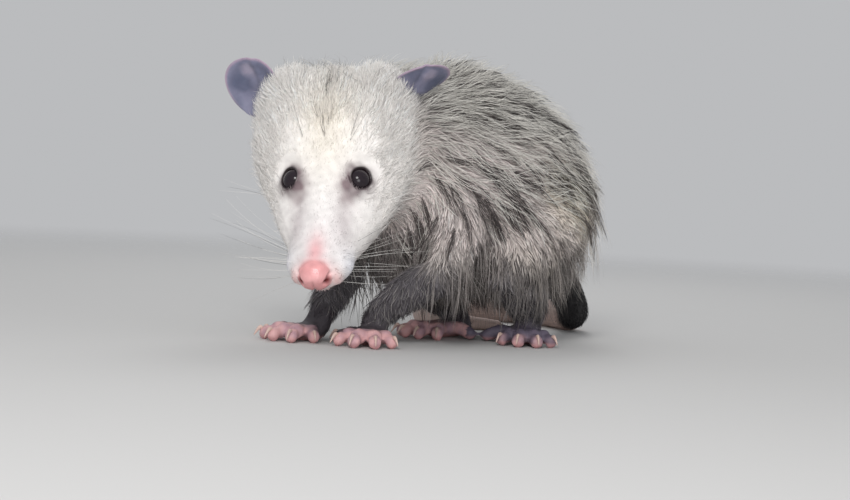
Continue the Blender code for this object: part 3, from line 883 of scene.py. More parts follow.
            # Mauve grey on each side of the muzzle: partly the skin's own tint, partly painted shade that gives the
            # sides their form.
            side_shade = np.exp(-(((along - 29.0) / 12.0) ** 2) - ((aside - side * 13.5) / 5.0) ** 2) * on_head
            hue = blend(hue, tone(0.74, 0.69, 0.70), 0.5 * side_shade * ease(-24.0, -14.0, height))
            patch = np.exp(-(((along - 11.0) / 7.5) ** 2) - ((aside - side * 13.8) / 5.2) ** 2) * on_head
            corner = np.exp(-(((along - 5.5) / 5.5) ** 2) - ((aside - side * 15.5) / 3.8) ** 2) * on_head
            patch = np.maximum(patch, corner) * (0.85 + 0.3 * waves(points, 4.0, 21))
            hue = blend(hue, tone(0.50, 0.41, 0.43), np.clip(1.1 * patch, 0.0, 0.9) * ease(-22.0, -12.0, height))
            pad = blot(place, (43.5, side * 14.5, -21.0), (7.0, 5.5, 7.0)) * on_head
            hue = blend(hue, tone(0.93, 0.94, 0.98), 0.85 * pad)
            wing = blot(place, (57.0, side * 11.4, -19.5), (5.0, 2.9, 7.5))
            hue = blend(hue, tone(0.96, 0.80, 0.79), 0.95 * wing)
            # Painted shade in the nostril pits: dark red at the slits.
            nostril_shade = blot(place, (60.0, side * 7.6, -16.8), (4.5, 1.5, 2.6))
            hue = blend(hue, tone(0.45, 0.14, 0.15), np.clip(1.5 * nostril_shade - 0.2, 0.0, 1.0))
            # Painted shadow where each ear leaves the head.
            hue = blend(hue, tone(0.12, 0.11, 0.13), 0.85 * self.ear_base(side) * on_head)
        # Painted shade in the mouth's groove.
        hue = blend(hue, tone(0.30, 0.20, 0.20), 0.75 * np.clip(self.lips, 0.0, 1.0))
        halo = np.clip(self.halo * (0.85 + 0.25 * waves(points, 3.0, 22)), 0.0, 1.0)
        hue = blend(hue, tone(0.38, 0.31, 0.33), 0.9 * halo)
        hue = blend(hue, tone(0.15, 0.11, 0.12), np.clip(self.rim * 1.2, 0.0, 1.0))
        limbs = self.share[Part.UPPER_ARM] + self.share[Part.THIGH]
        low = ease(60.0, 36.0, points[:, 2] / MM + 5.0 * waves(points, 14.0, 12))
        hue = blend(hue, tone(0.43, 0.41, 0.42), 0.95 * limbs * low)
        trunk = self.share[Part.TRUNK] + 0.6 * self.share[Part.NECK] + 0.8 * limbs * (1.0 - low) + 0.6 * back
        mottle = waves(points, 13.0, 5)
        hue = blend(hue, tone(0.84, 0.80, 0.75), np.clip(0.20 + 0.34 * mottle, 0.0, 0.7) * trunk)
        under = ease(0.062, 0.036, points[:, 2]) * self.share[Part.TRUNK]
        hue = blend(hue, tone(0.40, 0.38, 0.37), 0.75 * under)
        saddle = ease(0.105, 0.145, points[:, 2]) * (self.share[Part.TRUNK] + self.share[Part.NECK])
        hue = blend(hue, tone(0.54, 0.52, 0.51), 0.6 * saddle)
        flank = ease(0.138, 0.112, points[:, 2]) * ease(0.048, 0.070, points[:, 2]) * np.clip(trunk, 0.0, 1.0)
        hue = blend(hue, tone(0.96, 0.91, 0.90), 0.75 * flank)
        patch = blot(points / MM - SHIFT, (66.0, 56.0, 92.0), (24.0, 26.0, 24.0)) * trunk
        hue = blend(hue, tone(1.0, 0.96, 0.89), 0.95 * np.clip(patch * (1.2 + 0.5 * mottle), 0.0, 1.0))
        # Darker wavy streaks on the trunk: partly the hair's dark tips, partly painted shade between wet clumps.
        hue *= (1.0 - 0.22 * trunk * np.clip(waves(points, 5.0, 6), 0.0, 1.0))[:, None]
        self.bare = np.clip(self.share[Part.NOSE] * 1.6, 0.0, 1.0)
        flat = points[:, :2] / MM - SHIFT[:2]
        gaps = [np.linalg.norm(flat - np.array(foot[1]), axis=1) for foot in FEET]
        for number, (part, _, root, end, dark) in enumerate(FEET):
            gap = gaps[number]
            on_paw = np.clip(self.share[part] * 1.5, 0.0, 1.0) * (gap < gaps[number ^ 1])
            toes = ease(root, end, gap + 2.0 * waves(points, 6.0, 14))
            pink = blend(tone(0.84, 0.66, 0.66)[None], tone(0.66, 0.53, 0.58)[None],
                         np.clip(0.35 + 0.5 * waves(points, 4.5, 15), 0.0, 0.8))
            hue = blend(hue, blend(tone(*dark)[None], pink, toes), on_paw)
            self.bare = np.maximum(self.bare, on_paw * ease(min(root, 22.0) - 2.0, min(root, 22.0) + 8.0, gap))
        sole = np.clip(self.share[Part.FOREPAW] + self.share[Part.HINDPAW], 0, 1) * ease(4.0, 1.5, points[:, 2] / MM)
        hue = blend(hue, tone(0.80, 0.58, 0.57), 0.6 * sole)
        tail = self.share[Part.TAIL]
        hue = blend(hue, tone(0.86, 0.74, 0.70), np.clip(waves(points, 16.0, 9), 0.0, 1.0) * 0.5 * tail)
        self.bare = np.maximum(self.bare, np.clip(1.6 * tail, 0.0, 1.0))
        self.hue = np.clip(hue * (1.0 + 0.05 * waves(points, 3.0, 7))[:, None], 0.0, 1.0)

    def ear_base(self, side: float) -> np.ndarray:
        """How near each point is to the line where an ear leaves the head, from 0 to 1."""
        root, tip = (np.array(spot) for spot in EARS[side > 0][:2])
        way = unit(tip - root)
        away = self.place - root
        run = np.clip(away @ way, 0.0, 24.0)
        return 1.0 - ease(5.0, 11.0, np.linalg.norm(away - run[:, None] * way, axis=1))

    def trace_tail(self) -> tuple[np.ndarray, np.ndarray]:
        """How far each point lies along the tail and round it, in mm."""
        keys = np.array(((15, 120, 36), (12, 140, 18.5), (-1, 159, 10.2), (-27, 172, 9.2), (-58, 171, 8.5),
                         (-83, 152, 7.7), (-92, 122, 6.9), (-80, 95, 6.1), (-56, 83, 5.2), (-33, 90, 4.2),
                         (-24, 108, 3.0)), float) + SHIFT
        spots = []
        for i in range(len(keys) - 1):
            a, b, c, d = (keys[min(max(i + j, 0), len(keys) - 1)] for j in (-1, 0, 1, 2))
            for t in np.linspace(0.0, 1.0, 24, endpoint=False):
                spots.append(0.5 * (2 * b + (c - a) * t + (2 * a - 5 * b + 4 * c - d) * t ** 2
                                    + (3 * b - a - 3 * c + d) * t ** 3))
        line = np.array(spots)
        run = np.concatenate(((0.0,), np.cumsum(np.linalg.norm(np.diff(line, axis=0), axis=1))))
        heading = unit(np.gradient(line, axis=0))
        side = unit(np.cross(heading, UP))
        tree = KDTree(len(line))
        for number, spot in enumerate(line):
            tree.insert(spot, number)
        tree.balance()
        scaled = self.surface.points / MM
        chosen = self.share[Part.TAIL] + self.share[Part.TAIL_ROOT] > 0.02
        nearest = np.array([tree.find(spot)[1] if use else 0 for spot, use in zip(scaled, chosen)])
        away = scaled - line[nearest]
        far = run[nearest] + (away * heading[nearest]).sum(1)
        over = away @ UP
        turn = np.arctan2((away * side[nearest]).sum(1), over)
        return far, turn * 8.0

    def dress(self) -> None:
        """Gives the skin its attributes, bake map and material, and shows it."""
        # Painted shade on the skin under the coat: darker where the coat is deep, much less on the head, none on bare
        # skin.
        under_coat_shade = np.clip(self.depth / 4.0, 0.0, 1.0) * (1.0 - self.bare)
        put_colour(self.mesh, self.hue * (1.0 - (0.26 - 0.24 * self.share[Part.HEAD]) * under_coat_shade)[:, None])
        tail = np.clip(1.5 * self.share[Part.TAIL] - 0.2, 0.0, 1.0)
        along, turn = self.trace_tail()
        wet = np.clip(self.share[Part.NOSE] * 1.4, 0.0, 1.0) + self.rim
        for name, values in (("tail", tail), ("tail_along", along), ("tail_round", turn), ("wet", wet)):
            put_number(self.mesh, name, values)
        piece = show("skin", self.mesh, SkinFinish().make(),
                     tuple(node for part in PARTS for node in part.value))
        self.unwrap(piece)

    def unwrap(self, piece: bpy.types.Object) -> None:
        """Unfolds the skin by its own shape."""
        piece.data.uv_layers.new(name=BAKE_MAP)
        bpy.context.view_layer.objects.active = piece
        piece.select_set(True)
        bpy.ops.object.mode_set(mode="EDIT")
        bpy.ops.mesh.select_all(action="SELECT")
        bpy.ops.uv.smart_project(angle_limit=math.radians(70.0), island_margin=0.001)
        bpy.ops.object.mode_set(mode="OBJECT")
        piece.select_set(False)
        self.bake = read(piece.data.uv_layers[BAKE_MAP].data, "uv", 2)


@dataclass(frozen=True)
class Layer:
    """One kind of hair: where it grows, how much, and its shape.

    Sizes are in mm. `length` is in coat depths past `least`, `clump` is how far the strands close on the
    middle of their lock, `ends` scale the colour at root, middle and tip (a root factor below 1 is painted
    shade deep in the coat), `bunch` is how many strands share one root, and `rise` is how far up in the coat
    they start, as a share of its depth.
    """

    name: str
    slot: str
    count: int
    where: Callable[[Skin], np.ndarray]
    least: float
    length: float
    width: float
    rings: int = 2
    lift: float = 1.0
    spread: float = 0.15
    clump: float = 0.4
    gap: float = 4.0
    droop: float = 0.0
    wave: float = 0.05
    ends: tuple[float, float, float] = (0.72, 1.0, 1.08)
    tint: tuple[float, float, float] = (1.0, 1.0, 1.0)
    tinted: float = 0.0
    jitter: float = 0.10
    bunch: int = 1
    rise: float = 0.0


@dataclass
class Coat:
    """The fur: thin, closed, three-sided strands in locks that follow the lie of the coat."""

    skin: Skin
    most: int = 190000

    def build(self, layer: Layer, seed: int) -> None:
        """Grows one layer and shows it as one piece, or as a few where it is large.

        Args:
            layer: The kind of hair.
            seed: Its own random pattern.
        """
        rng = np.random.default_rng(seed)
        root = self.scatter(layer, rng)
        paths, side, over = self.comb(layer, root, rng)
        faces_each = 6 * (layer.rings - 1) + 4
        pieces = math.ceil(layer.count * faces_each / self.most)
        order = np.argsort(root["point"] @ np.array((0.3, 1.0, 0.2)), kind="stable")
        # Root, middle and tip factors: a root factor below 1 is painted shade deep in the coat; jitter varies each
        # strand's tone at random.
        shade = np.array(layer.ends)[None, :, None] * (1.0 + layer.jitter * rng.normal(size=(layer.count, 1, 1)))
        base = blend(root["hue"], tone(*layer.tint), np.full(layer.count, layer.tinted))
        for number, chosen in enumerate(np.array_split(order, pieces)):
            mesh = self.weave(layer, paths[chosen], side[chosen], over[chosen], root["width"][chosen],
                              base[chosen][:, None, :] * shade[chosen], root["uv"][chosen], rng)
            name = layer.name if pieces == 1 else f"{layer.name}_{number + 1}"
            show(name, mesh, CoatFinish(layer.slot + "_strands").make())

    def scatter(self, layer: Layer, rng: np.random.Generator) -> dict[str, np.ndarray]:
        """Picks the roots on the skin, with all that the skin says there."""
        skin = self.skin
        tri = skin.surface.triangles
        a, b, c = (skin.surface.points[tri[:, i]] for i in range(3))
        area = np.linalg.norm(np.cross(b - a, c - a), axis=1)
        lidded = 1.0 - np.clip(3.0 * skin.rim, 0.0, 1.0)
        weight = (np.clip(layer.where(skin), 0.0, None) * lidded)[tri].mean(1) * area
        run = np.cumsum(weight)
        locks = math.ceil(layer.count / layer.bunch)
        member = np.arange(layer.count) // layer.bunch
        picks = np.searchsorted(run, (np.arange(locks) + rng.random(locks)) / locks * run[-1])
        picks = np.minimum(picks, len(tri) - 1)[member]
        u, v = rng.random((2, locks))[:, member]
        flip = u + v > 1.0
        u, v = np.where(flip, 1.0 - u, u), np.where(flip, 1.0 - v, v)
        shares = np.stack((1.0 - u - v, u, v), axis=1)

        def at(values: np.ndarray) -> np.ndarray:
            """A field's value at the roots."""
            rows = values[tri[picks]]
            return (rows * (shares[:, :, None] if rows.ndim == 3 else shares)).sum(1)

        depth = at(skin.depth)
        normal = unit(at(skin.surface.normals()))
        flow = at(skin.flow)
        flow = unit(flow - normal * (flow * normal).sum(1, keepdims=True))
        uv = (skin.bake[skin.surface.corners[picks]] * shares[:, :, None]).sum(1)
        length = (layer.least + layer.length * depth) * rng.uniform(0.72, 1.22, layer.count) * MM
        width = layer.width * MM * rng.uniform(0.7, 1.25, layer.count)
        point = at(skin.surface.points) + normal * (layer.rise * depth * MM)[:, None]
        if layer.bunch > 1:
            apart = rng.normal(0.0, 0.12 * layer.gap * MM, (2, layer.count, 1))
            point += flow * apart[0] * 2.0 + np.cross(flow, normal) * apart[1]
        return {"point": point, "normal": normal, "flow": flow, "uv": uv, "hue": at(skin.hue),
                "lift": at(skin.lift), "length": length, "width": width}

    def comb(self, layer: Layer, root: dict, rng: np.random.Generator) -> tuple[np.ndarray, np.ndarray, np.ndarray]:
        """Lays each strand's path, and draws it towards its lock.

        Returns:
            The path's points, and the strand's sideways and upward directions.
        """
        count, normal, flow = layer.count, root["normal"], root["flow"]
        turn = rng.normal(0.0, layer.spread, count) + 0.35 * waves(root["point"], 5.0, 77) * layer.spread * 3.0
        across = np.cross(flow, normal)
        flow = unit(flow * np.cos(turn)[:, None] + across * np.sin(turn)[:, None])
        across = np.cross(flow, normal)
        angle = np.clip(root["lift"] * layer.lift + rng.normal(0.0, 0.10, count), 0.03, 1.45)
        start = flow * np.cos(angle)[:, None] + normal * np.sin(angle)[:, None]
        steps = np.linspace(0.0, 1.0, layer.rings + 1)
        length = root["length"][:, None]
        phase = rng.uniform(0.0, 6.28, count)[:, None]
        bent = (flow - start) * 0.45 - UP * layer.droop
        paths = np.empty((count, layer.rings + 1, 3))
        for number, step in enumerate(steps):
            sway = across * (np.sin(step * 5.0 + phase) - np.sin(phase)) * layer.wave
            paths[:, number] = root["point"] - normal * 0.4 * MM + length * (start * step + bent * step ** 2 + sway)
        if layer.clump > 0.0:
            self.gather(layer, root["point"], paths, steps, rng)
        paths[:, 1:, 2] = np.maximum(paths[:, 1:, 2], 0.5 * MM)
        return paths, across, unit(normal)

    @staticmethod
    def gather(layer: Layer, points: np.ndarray, paths: np.ndarray, steps: np.ndarray,
               rng: np.random.Generator) -> None:
        """Draws the strands' outer parts towards the middle strand of their lock."""
        if layer.bunch > 1:
            lock = np.arange(len(points)) // layer.bunch * layer.bunch
            for number, step in enumerate(steps):
                paths[:, number] += (paths[lock, number] - paths[:, number]) * layer.clump * step
            return
        spread = np.ptp(points, axis=0)
        guides = min(len(points), max(8, int(1.2 * spread[1] * (spread[0] + spread[2]) / (layer.gap * MM) ** 2)))
        chosen = rng.choice(len(points), guides, replace=False)
        tree = KDTree(guides)
        for number, index in enumerate(chosen):
            tree.insert(points[index], number)
        tree.balance()
        lock = chosen[[tree.find(point)[1] for point in points]]
        near = np.linalg.norm(points - points[lock], axis=1) < layer.gap * 2.2 * MM
        for number, step in enumerate(steps):
            pull = layer.clump * step ** 1.3 * near
            paths[:, number] += (paths[lock, number] - paths[:, number]) * pull[:, None]

    @staticmethod
    def weave(layer: Layer, paths: np.ndarray, side: np.ndarray, over: np.ndarray, width: np.ndarray,
              colours: np.ndarray, uv: np.ndarray, rng: np.random.Generator) -> bpy.types.Mesh:
        """Makes the mesh of closed strands.

        Args:
            layer: The kind of hair.
            paths: Each strand's points from root to tip.
            side: Its sideways direction.
            over: Its upward direction.
            width: Its width at the root, in metres.
            colours: Its colours at root, middle and tip.
            uv: Its root's place on the skin's unwrap.
            rng: Random numbers.

        Returns:
            The joined mesh.
        """
        count, rings = len(paths), layer.rings
        per = 3 * rings + 1
        verts = np.empty((count, per, 3), np.float32)
        shades = np.empty((count, per, 3), np.float32)
        shift = np.empty((per, 2), np.float32)
        roll = rng.uniform(-0.45, 0.45, count)[:, None]
        flat = side * np.cos(roll) + over * np.sin(roll)
        high = over * np.cos(roll) - side * np.sin(roll)
        for ring in range(rings + 1):
            step = ring / rings
            half = width[:, None] * 0.5 * (1.0 - 0.55 * step ** 1.5)
            low, far = (colours[:, 0], colours[:, 1]) if step < 0.5 else (colours[:, 1], colours[:, 2])
            shade = low + (far - low) * (2.0 * step if step < 0.5 else 2.0 * step - 1.0)
            if ring == rings:
                verts[:, -1], shades[:, -1], shift[-1] = paths[:, ring], shade, (PATCH / 2.0, PATCH)
                continue
            for corner, (wide, tall) in enumerate(((-1.0, -0.15), (1.0, -0.15), (0.0, 0.42))):
                index = 3 * ring + corner
                verts[:, index] = paths[:, ring] + (flat * wide + high * tall) * half
                shades[:, index] = shade
                shift[index] = (PATCH * (0.0, 1.0, 0.5)[corner], PATCH * step)
        faces = [(0, 1, 2)]
        for ring in range(rings - 1):
            for corner in range(3):
                i, j = 3 * ring + corner, 3 * ring + (corner + 1) % 3
                faces += [(i, i + 3, j + 3), (i, j + 3, j)]
        last = 3 * (rings - 1)
        faces += [(last + i, per - 1, last + (i + 1) % 3) for i in range(3)]
        plan = np.array(faces, np.int32)
        index = (plan[None] + (np.arange(count) * per)[:, None, None]).reshape(-1)
        mesh = bpy.data.meshes.new(layer.name)
        mesh.vertices.add(count * per)
        mesh.vertices.foreach_set("co", verts.ravel())
        mesh.loops.add(len(index))
        mesh.loops.foreach_set("vertex_index", index.astype(np.int32))
        mesh.polygons.add(len(index) // 3)
        mesh.polygons.foreach_set("loop_start", np.arange(0, len(index), 3, dtype=np.int32))
        mesh.update(calc_edges=True)
        put_colour(mesh, shades.reshape(-1, 3))
        places = (uv[:, None, :] + shift[None, plan.ravel()]).astype(np.float32)
        mesh.uv_layers.new(name=BAKE_MAP).data.foreach_set("uv", places.ravel())
        return mesh


@dataclass
class Eyes:
    """The two glossy eyeballs."""

    head: HeadFrame
    sink: float

    def build(self) -> None:
        """Makes each eye as a ball turned along its gaze."""
        for side, word in ((1.0, "left"), (-1.0, "right")):
            centre, gaze = self.head.eye(side, self.sink)
            shape = bmesh.new()
            bmesh.ops.create_uvsphere(shape, u_segments=48, v_segments=32, radius=self.head.eye_radius * MM)
            forward = Vector(gaze @ np.stack((self.head.nose, self.head.left, self.head.crown)))
            bmesh.ops.rotate(shape, verts=shape.verts, cent=(0.0, 0.0, 0.0),
                             matrix=forward.to_track_quat("Z", "Y").to_matrix())
            bmesh.ops.translate(shape, verts=shape.verts, vec=Vector(self.head.world(centre)))
            mesh = bpy.data.meshes.new(f"eyeball_{word}")
            shape.to_mesh(mesh)
            shape.free()
            show(f"eyeball_{word}", mesh, EyeFinish().make(), (f"eye_{word}",))


@dataclass
class Ear:
    """One thin, cupped, naked ear with a soft rim and low folds."""

    head: HeadFrame
    word: str
    root: tuple[float, float, float]
    tip: tuple[float, float, float]
    facing: tuple[float, float, float]
    half_width: float = 18.0
    length: float = 44.0
    cup: float = 8.0
    wall: float = 0.9

    def build(self) -> None:
        """Makes the ear."""
        root, tip = self.head.world(self.root), self.head.world(self.tip)
        facing = np.array(self.facing) @ np.stack((self.head.nose, self.head.left, self.head.crown))
        along = unit(tip - root)
        across = unit(np.cross(along, facing))
        facing = np.cross(across, along)
        shape = bmesh.new()
        bmesh.ops.create_grid(shape, x_segments=36, y_segments=36, size=1.0)
        spots, colours = [], []
        for vert in shape.verts:
            u, v = vert.co.x, vert.co.y
            x = u * math.sqrt(1.0 - 0.5 * v * v)
            y = v * math.sqrt(1.0 - 0.5 * u * u)
            spots.append((x, y))
            low = 0.5 * (1.0 - y)
            rim = min(math.hypot(x, y), 1.0)
            ripple = 1.0 + 0.014 * math.sin(3.0 * math.atan2(y, x) + 1.0) * rim ** 3
            wide = self.half_width * x * (1.0 - 0.42 * low * low) * ripple
            deep = self.cup * ((0.35 + 0.9 * low) * x * x + 0.25 * y * y)
            deep += 0.8 * math.sin(5.0 * y + 2.2 * x) * (1.0 - rim) + 1.1 * math.exp(-((x - 0.25 - 0.3 * y) / 0.09) ** 2)
            deep -= 0.9 * max(rim - 0.86, 0.0) / 0.14 * (1.0 if y > -0.3 else 0.3)
            vert.co = root + (across * wide + along * self.length * (1.0 - low) * ripple + facing * deep) * MM
        bmesh.ops.smooth_vert(shape, verts=shape.verts, factor=0.5, use_axis_x=True, use_axis_y=True, use_axis_z=True)
        colours = self.tints(np.array(spots))
        mesh = bpy.data.meshes.new(f"ear_pinna_{self.word}")
        shape.to_mesh(mesh)
        shape.free()
        put_colour(mesh, colours)
        holder = bpy.data.objects.new("ear_holder", mesh)
        bpy.context.scene.collection.objects.link(holder)
        wall = holder.modifiers.new("wall", "SOLIDIFY")
        wall.thickness, wall.offset, wall.use_rim = self.wall * MM, 0.0, True
        round_off = holder.modifiers.new("round", "SUBSURF")
        round_off.levels = round_off.render_levels = 1
        done = bpy.data.meshes.new_from_object(holder.evaluated_get(bpy.context.evaluated_depsgraph_get()))
        bpy.data.objects.remove(holder)
        show(f"ear_pinna_{self.word}", done, EarFinish().make(), (f"ear_{self.word}",))

    def tints(self, spots: np.ndarray) -> np.ndarray:
        """Lavender grey, darker in the cup, with a pink rim, one pale patch and painted shade towards the root."""
        x, y = spots.T
        rim = np.minimum(np.hypot(x, y), 1.0)
        hue = np.tile(tone(0.53, 0.53, 0.62), (len(spots), 1))
        flat = np.stack((x, y, np.zeros(len(x))), axis=1) * 20.0 * MM
        rough = 0.12 * waves(flat, 3.0, 4)
        hue = blend(hue, tone(0.45, 0.46, 0.55), ease(-0.6, 0.9, waves(flat, 9.0, 3)))
        dark = np.hypot((x + 0.38) / 0.42, (y - 0.36) / 0.30) + rough
        hue = blend(hue, tone(0.33, 0.36, 0.46), 0.65 * ease(1.3, 0.4, dark))
        pale = np.hypot((x - 0.16) / 0.30, (y - 0.60) / 0.26) + rough
        hue = blend(hue, tone(0.72, 0.68, 0.75), 0.6 * ease(1.2, 0.3, pale))
        hue = blend(hue, tone(0.74, 0.64, 0.71), ease(0.90, 0.99, rim) * 0.75 * ease(-0.3, 0.4, y))
        # Painted shade towards the root, where the head's fur shades the ear.
        return blend(hue, tone(0.25, 0.23, 0.27), ease(-0.55, -1.0, y) * 0.7)


@dataclass
class Claws:
    """All the claws, smooth and curved, each where its solid is."""

    radius: float = 1.3
    sink: float = 1.3
    reach: float = 0.78

    def build(self) -> None:
        """Makes the claws as one joined piece."""
        whole = bmesh.new()
        for name in CLAWS:
            self.add(whole, name)
        mesh = bpy.data.meshes.new("claws")
        whole.to_mesh(mesh)
        whole.free()
        show("claws", mesh, ClawFinish().make(), CLAWS)

    def add(self, whole: bmesh.types.BMesh, name: str) -> None:
        """Adds one claw: a cone cut into rings, bent down to its point."""
        root, end, axis = claw_line(name)
        root = root - axis * self.sink * MM
        end = root + (end - root) * self.reach
        side = unit(np.cross(axis, UP))
        shape = bmesh.new()
        bmesh.ops.create_cone(shape, cap_ends=True, segments=12, radius1=1.0, radius2=0.12, depth=1.0)
        long_edges = [edge for edge in shape.edges if abs(edge.verts[0].co.z - edge.verts[1].co.z) > 0.5]
        bmesh.ops.subdivide_edges(shape, edges=long_edges, cuts=7)
        for vert in shape.verts:
            step = vert.co.z + 0.5
            thick = self.radius * (1.0 - 0.80 * step ** 1.4) / (1.0 - 0.88 * step)
            arch = UP * 1.5 * MM * math.sin(math.pi * min(step, 1.0)) * (1.0 - 0.3 * step)
            spot = root + (end - root) * step + arch
            vert.co = spot + (side * vert.co.x * 0.85 + np.cross(side, axis) * vert.co.y * 1.1) * thick * MM
        bmesh.ops.recalc_face_normals(shape, faces=shape.faces)
        copy = bpy.data.meshes.new("claw_copy")
        shape.to_mesh(copy)
        shape.free()
        whole.from_mesh(copy)
        bpy.data.meshes.remove(copy)


@dataclass
class Whiskers:
    """Stiff, tapering whiskers in rows on the muzzle, with a few on the cheeks and over the eyes."""

    skin: Skin
    name: str
    slot: str
    shade: tuple[float, float, float]
    seed: int
    rare: float
    thick: float = 0.32
    rows: int = 10

    def roots(self, rng: np.random.Generator) -> list[tuple[np.ndarray, np.ndarray, float]]:
        """Each whisker's place in the head, its way there, and its length in mm."""
        found = []
        for side in (1.0, -1.0):
            for row in range(4):
                for rank in range(5):
                    if rng.random() < self.rare:
                        continue
                    place = np.array((49.0 - 5.2 * rank + rng.normal(0, 0.7), side * (10.0 + 1.7 * rank),
                                      -16.5 - 3.4 * row + rng.normal(0, 0.5)))
                    way = np.array((-0.05 - 0.16 * rank, side, 0.14 - 0.19 * row + rng.normal(0, 0.10)))
                    reach = 1.0 if side > 0 else 1.35
                    found.append((place, way, rng.uniform(34.0, 60.0) * (0.62 + 0.10 * rank) * reach))
            for _ in range(2):
                if rng.random() < self.rare:
                    continue
                place = np.array((-17.0 + rng.normal(0, 1.5), side * 13.0, 17.0))
                found.append((place, np.array((-0.9, side * 0.5, 1.0)) + rng.normal(0, 0.12, 3), rng.uniform(18, 30)))
                place = np.array((-14.0 + rng.normal(0, 3.0), side * 40.0, -18.0))
                found.append((place, np.array((-0.2, side, 0.1)) + rng.normal(0, 0.15, 3), rng.uniform(24, 40)))
        return found

    def build(self) -> None:
        """Makes the whiskers as one joined piece."""
        rng = np.random.default_rng(self.seed)
        head, rings = self.skin.head, self.rows
        tree = BVHTree.FromPolygons([Vector(p) for p in self.skin.surface.points], self.skin.surface.triangles.tolist())
        low, high = (np.array(corner) for corner in CAD_BOX)
        spare = (high - low) * 0.03 + 9.0 * MM
        axes = np.stack((head.nose, head.left, head.crown))
        paths = []
        for place, way, length in self.roots(rng):
            spot = np.array(tree.find_nearest(Vector(head.world(place)))[0])
            way = unit(way @ axes)
            back = -head.nose * 0.40 - UP * rng.uniform(0.05, 0.42)
            steps = np.linspace(0.0, 1.0, rings + 1)[:, None]
            line = length * MM * (way * steps + back * steps ** 2 * 0.75)
            while np.any(spot + line < low - spare) or np.any(spot + line > high + spare):
                line *= 0.92
            paths.append(spot - way * 0.6 * MM + line)
        paths = np.array(paths)
        count = len(paths)
        way = unit(paths[:, 1] - paths[:, 0])
        side = unit(np.cross(way, UP))
        colour = np.tile(tone(*self.shade), (count, 3, 1))
        layer = Layer(self.name, self.slot, count, lambda skin: skin.depth, 0.0, 0.0, self.thick, rings=rings)
        near = [tree.find_nearest(Vector(path[0]))[2] for path in paths]
        uv = self.skin.bake[self.skin.surface.corners[near]].mean(1)
        mesh = Coat.weave(layer, paths, side, unit(np.cross(side, way)), np.full(count, self.thick * MM), colour, uv, rng)
        show(self.name, mesh, CoatFinish(self.name, 0.4, 0.5).make())


@dataclass
class Studio:
    """Floor, lights and the camera at the photo's angle."""

    target: tuple[float, float, float] = (11.62, -28.12, 54.0)
    azimuth: float = 40.0
    elevation: float = 2.0
    distance: float = 0.95
    scale: float = 1660.0
    roll: float = 3.0

    def build(self) -> None:
        """Makes the floor, the lights, the world and the camera."""
        shape = bmesh.new()
        bmesh.ops.create_grid(shape, x_segments=8, y_segments=8, size=6.0)
        mesh = bpy.data.meshes.new("floor")
        shape.to_mesh(mesh)
        shape.free()
        mesh.materials.append(FloorFinish().make())
        floor = bpy.data.objects.new("floor", mesh)
        bpy.context.scene.collection.objects.link(floor)
        self.light("key", 33.0, 30.0, 1.3, 0.4, 6.9, (1.0, 0.985, 0.97))
        self.light("fill", 48.0, 6.0, 1.5, 0.6, 4.6, (0.98, 0.985, 1.0))
        self.light("back", 215.0, 50.0, 1.3, 0.6, 3.4, (1.0, 1.0, 1.0))
        world = bpy.data.worlds.new("studio")
        world.use_nodes = True
        sky = world.node_tree.nodes["Background"]
        sky.inputs["Color"].default_value = (0.80, 0.81, 0.83, 1.0)
        sky.inputs["Strength"].default_value = 0.62
        bpy.context.scene.world = world
        bpy.context.scene.view_settings.view_transform = "Standard"
        self.shoot()

    def spot(self, azimuth: float, elevation: float, distance: float) -> Vector:
        """A point round the target."""
        a, e = math.radians(azimuth), math.radians(elevation)
        away = Vector((math.sin(a) * math.cos(e), -math.cos(a) * math.cos(e), math.sin(e)))
        return Vector(self.target) * MM + away * distance

    def light(self, name: str, azimuth: float, elevation: float, distance: float, size: float, power: float,
              colour: tuple[float, float, float]) -> None:
        """Adds one soft area light that looks at the target."""
        lamp = bpy.data.lights.new(name, "AREA")
        lamp.shape, lamp.size, lamp.energy, lamp.color = "DISK", size, power, colour
        holder = bpy.data.objects.new(name, lamp)
        holder.location = self.spot(azimuth, elevation, distance)
        holder.rotation_euler = (Vector(self.target) * MM - holder.location).to_track_quat("-Z", "Y").to_euler()
        bpy.context.scene.collection.objects.link(holder)

    def shoot(self) -> None:
        """Places the camera."""
        data = bpy.data.cameras.new("camera")
        data.sensor_width = 36.0
        data.lens = 36.0 * self.distance / (850.0 / self.scale)
        data.clip_start = 0.01
        camera = bpy.data.objects.new("camera", data)
        camera.location = self.spot(self.azimuth, self.elevation, self.distance)
        look = (Vector(self.target) * MM - camera.location).to_track_quat("-Z", "Y")
        camera.rotation_euler = (look @ Quaternion((0.0, 0.0, 1.0), math.radians(self.roll))).to_euler()
        bpy.context.scene.collection.objects.link(camera)
        bpy.context.scene.camera = camera


def on_face(skin: Skin) -> np.ndarray:
    """Where the short hair of the face grows."""
    head = skin.share[Part.HEAD] + skin.share[Part.JAW]
    return head * (1.0 - skin.bare) * ease(-52.0, -30.0, skin.place[:, 0])


def on_crown(skin: Skin) -> np.ndarray:
    """Where the longer hair of crown and cheeks grows."""
    head = skin.share[Part.HEAD] + skin.share[Part.JAW]
    return head * ease(-12.0, -34.0, skin.place[:, 0]) * (1.0 - np.maximum(skin.ear_base(1.0), skin.ear_base(-1.0)))


def on_fringe(skin: Skin) -> np.ndarray:
    """Where single longer hairs stand off the cheeks, the jaw and the crown."""
    along, aside, _ = skin.place.T
    side = ease(18.0, 30.0, abs(aside)) * ease(30.0, 5.0, along)
    return skin.share[Part.HEAD] * np.clip(side + ease(-24.0, -50.0, along), 0.0, 1.0)


def on_cheeks(skin: Skin) -> np.ndarray:
    """The backs of the cheeks, where the hair of the face ends in a ruff."""
    along, _, height = skin.place.T
    return skin.share[Part.HEAD] * ease(-24.0, -38.0, along) * ease(14.0, 2.0, height)


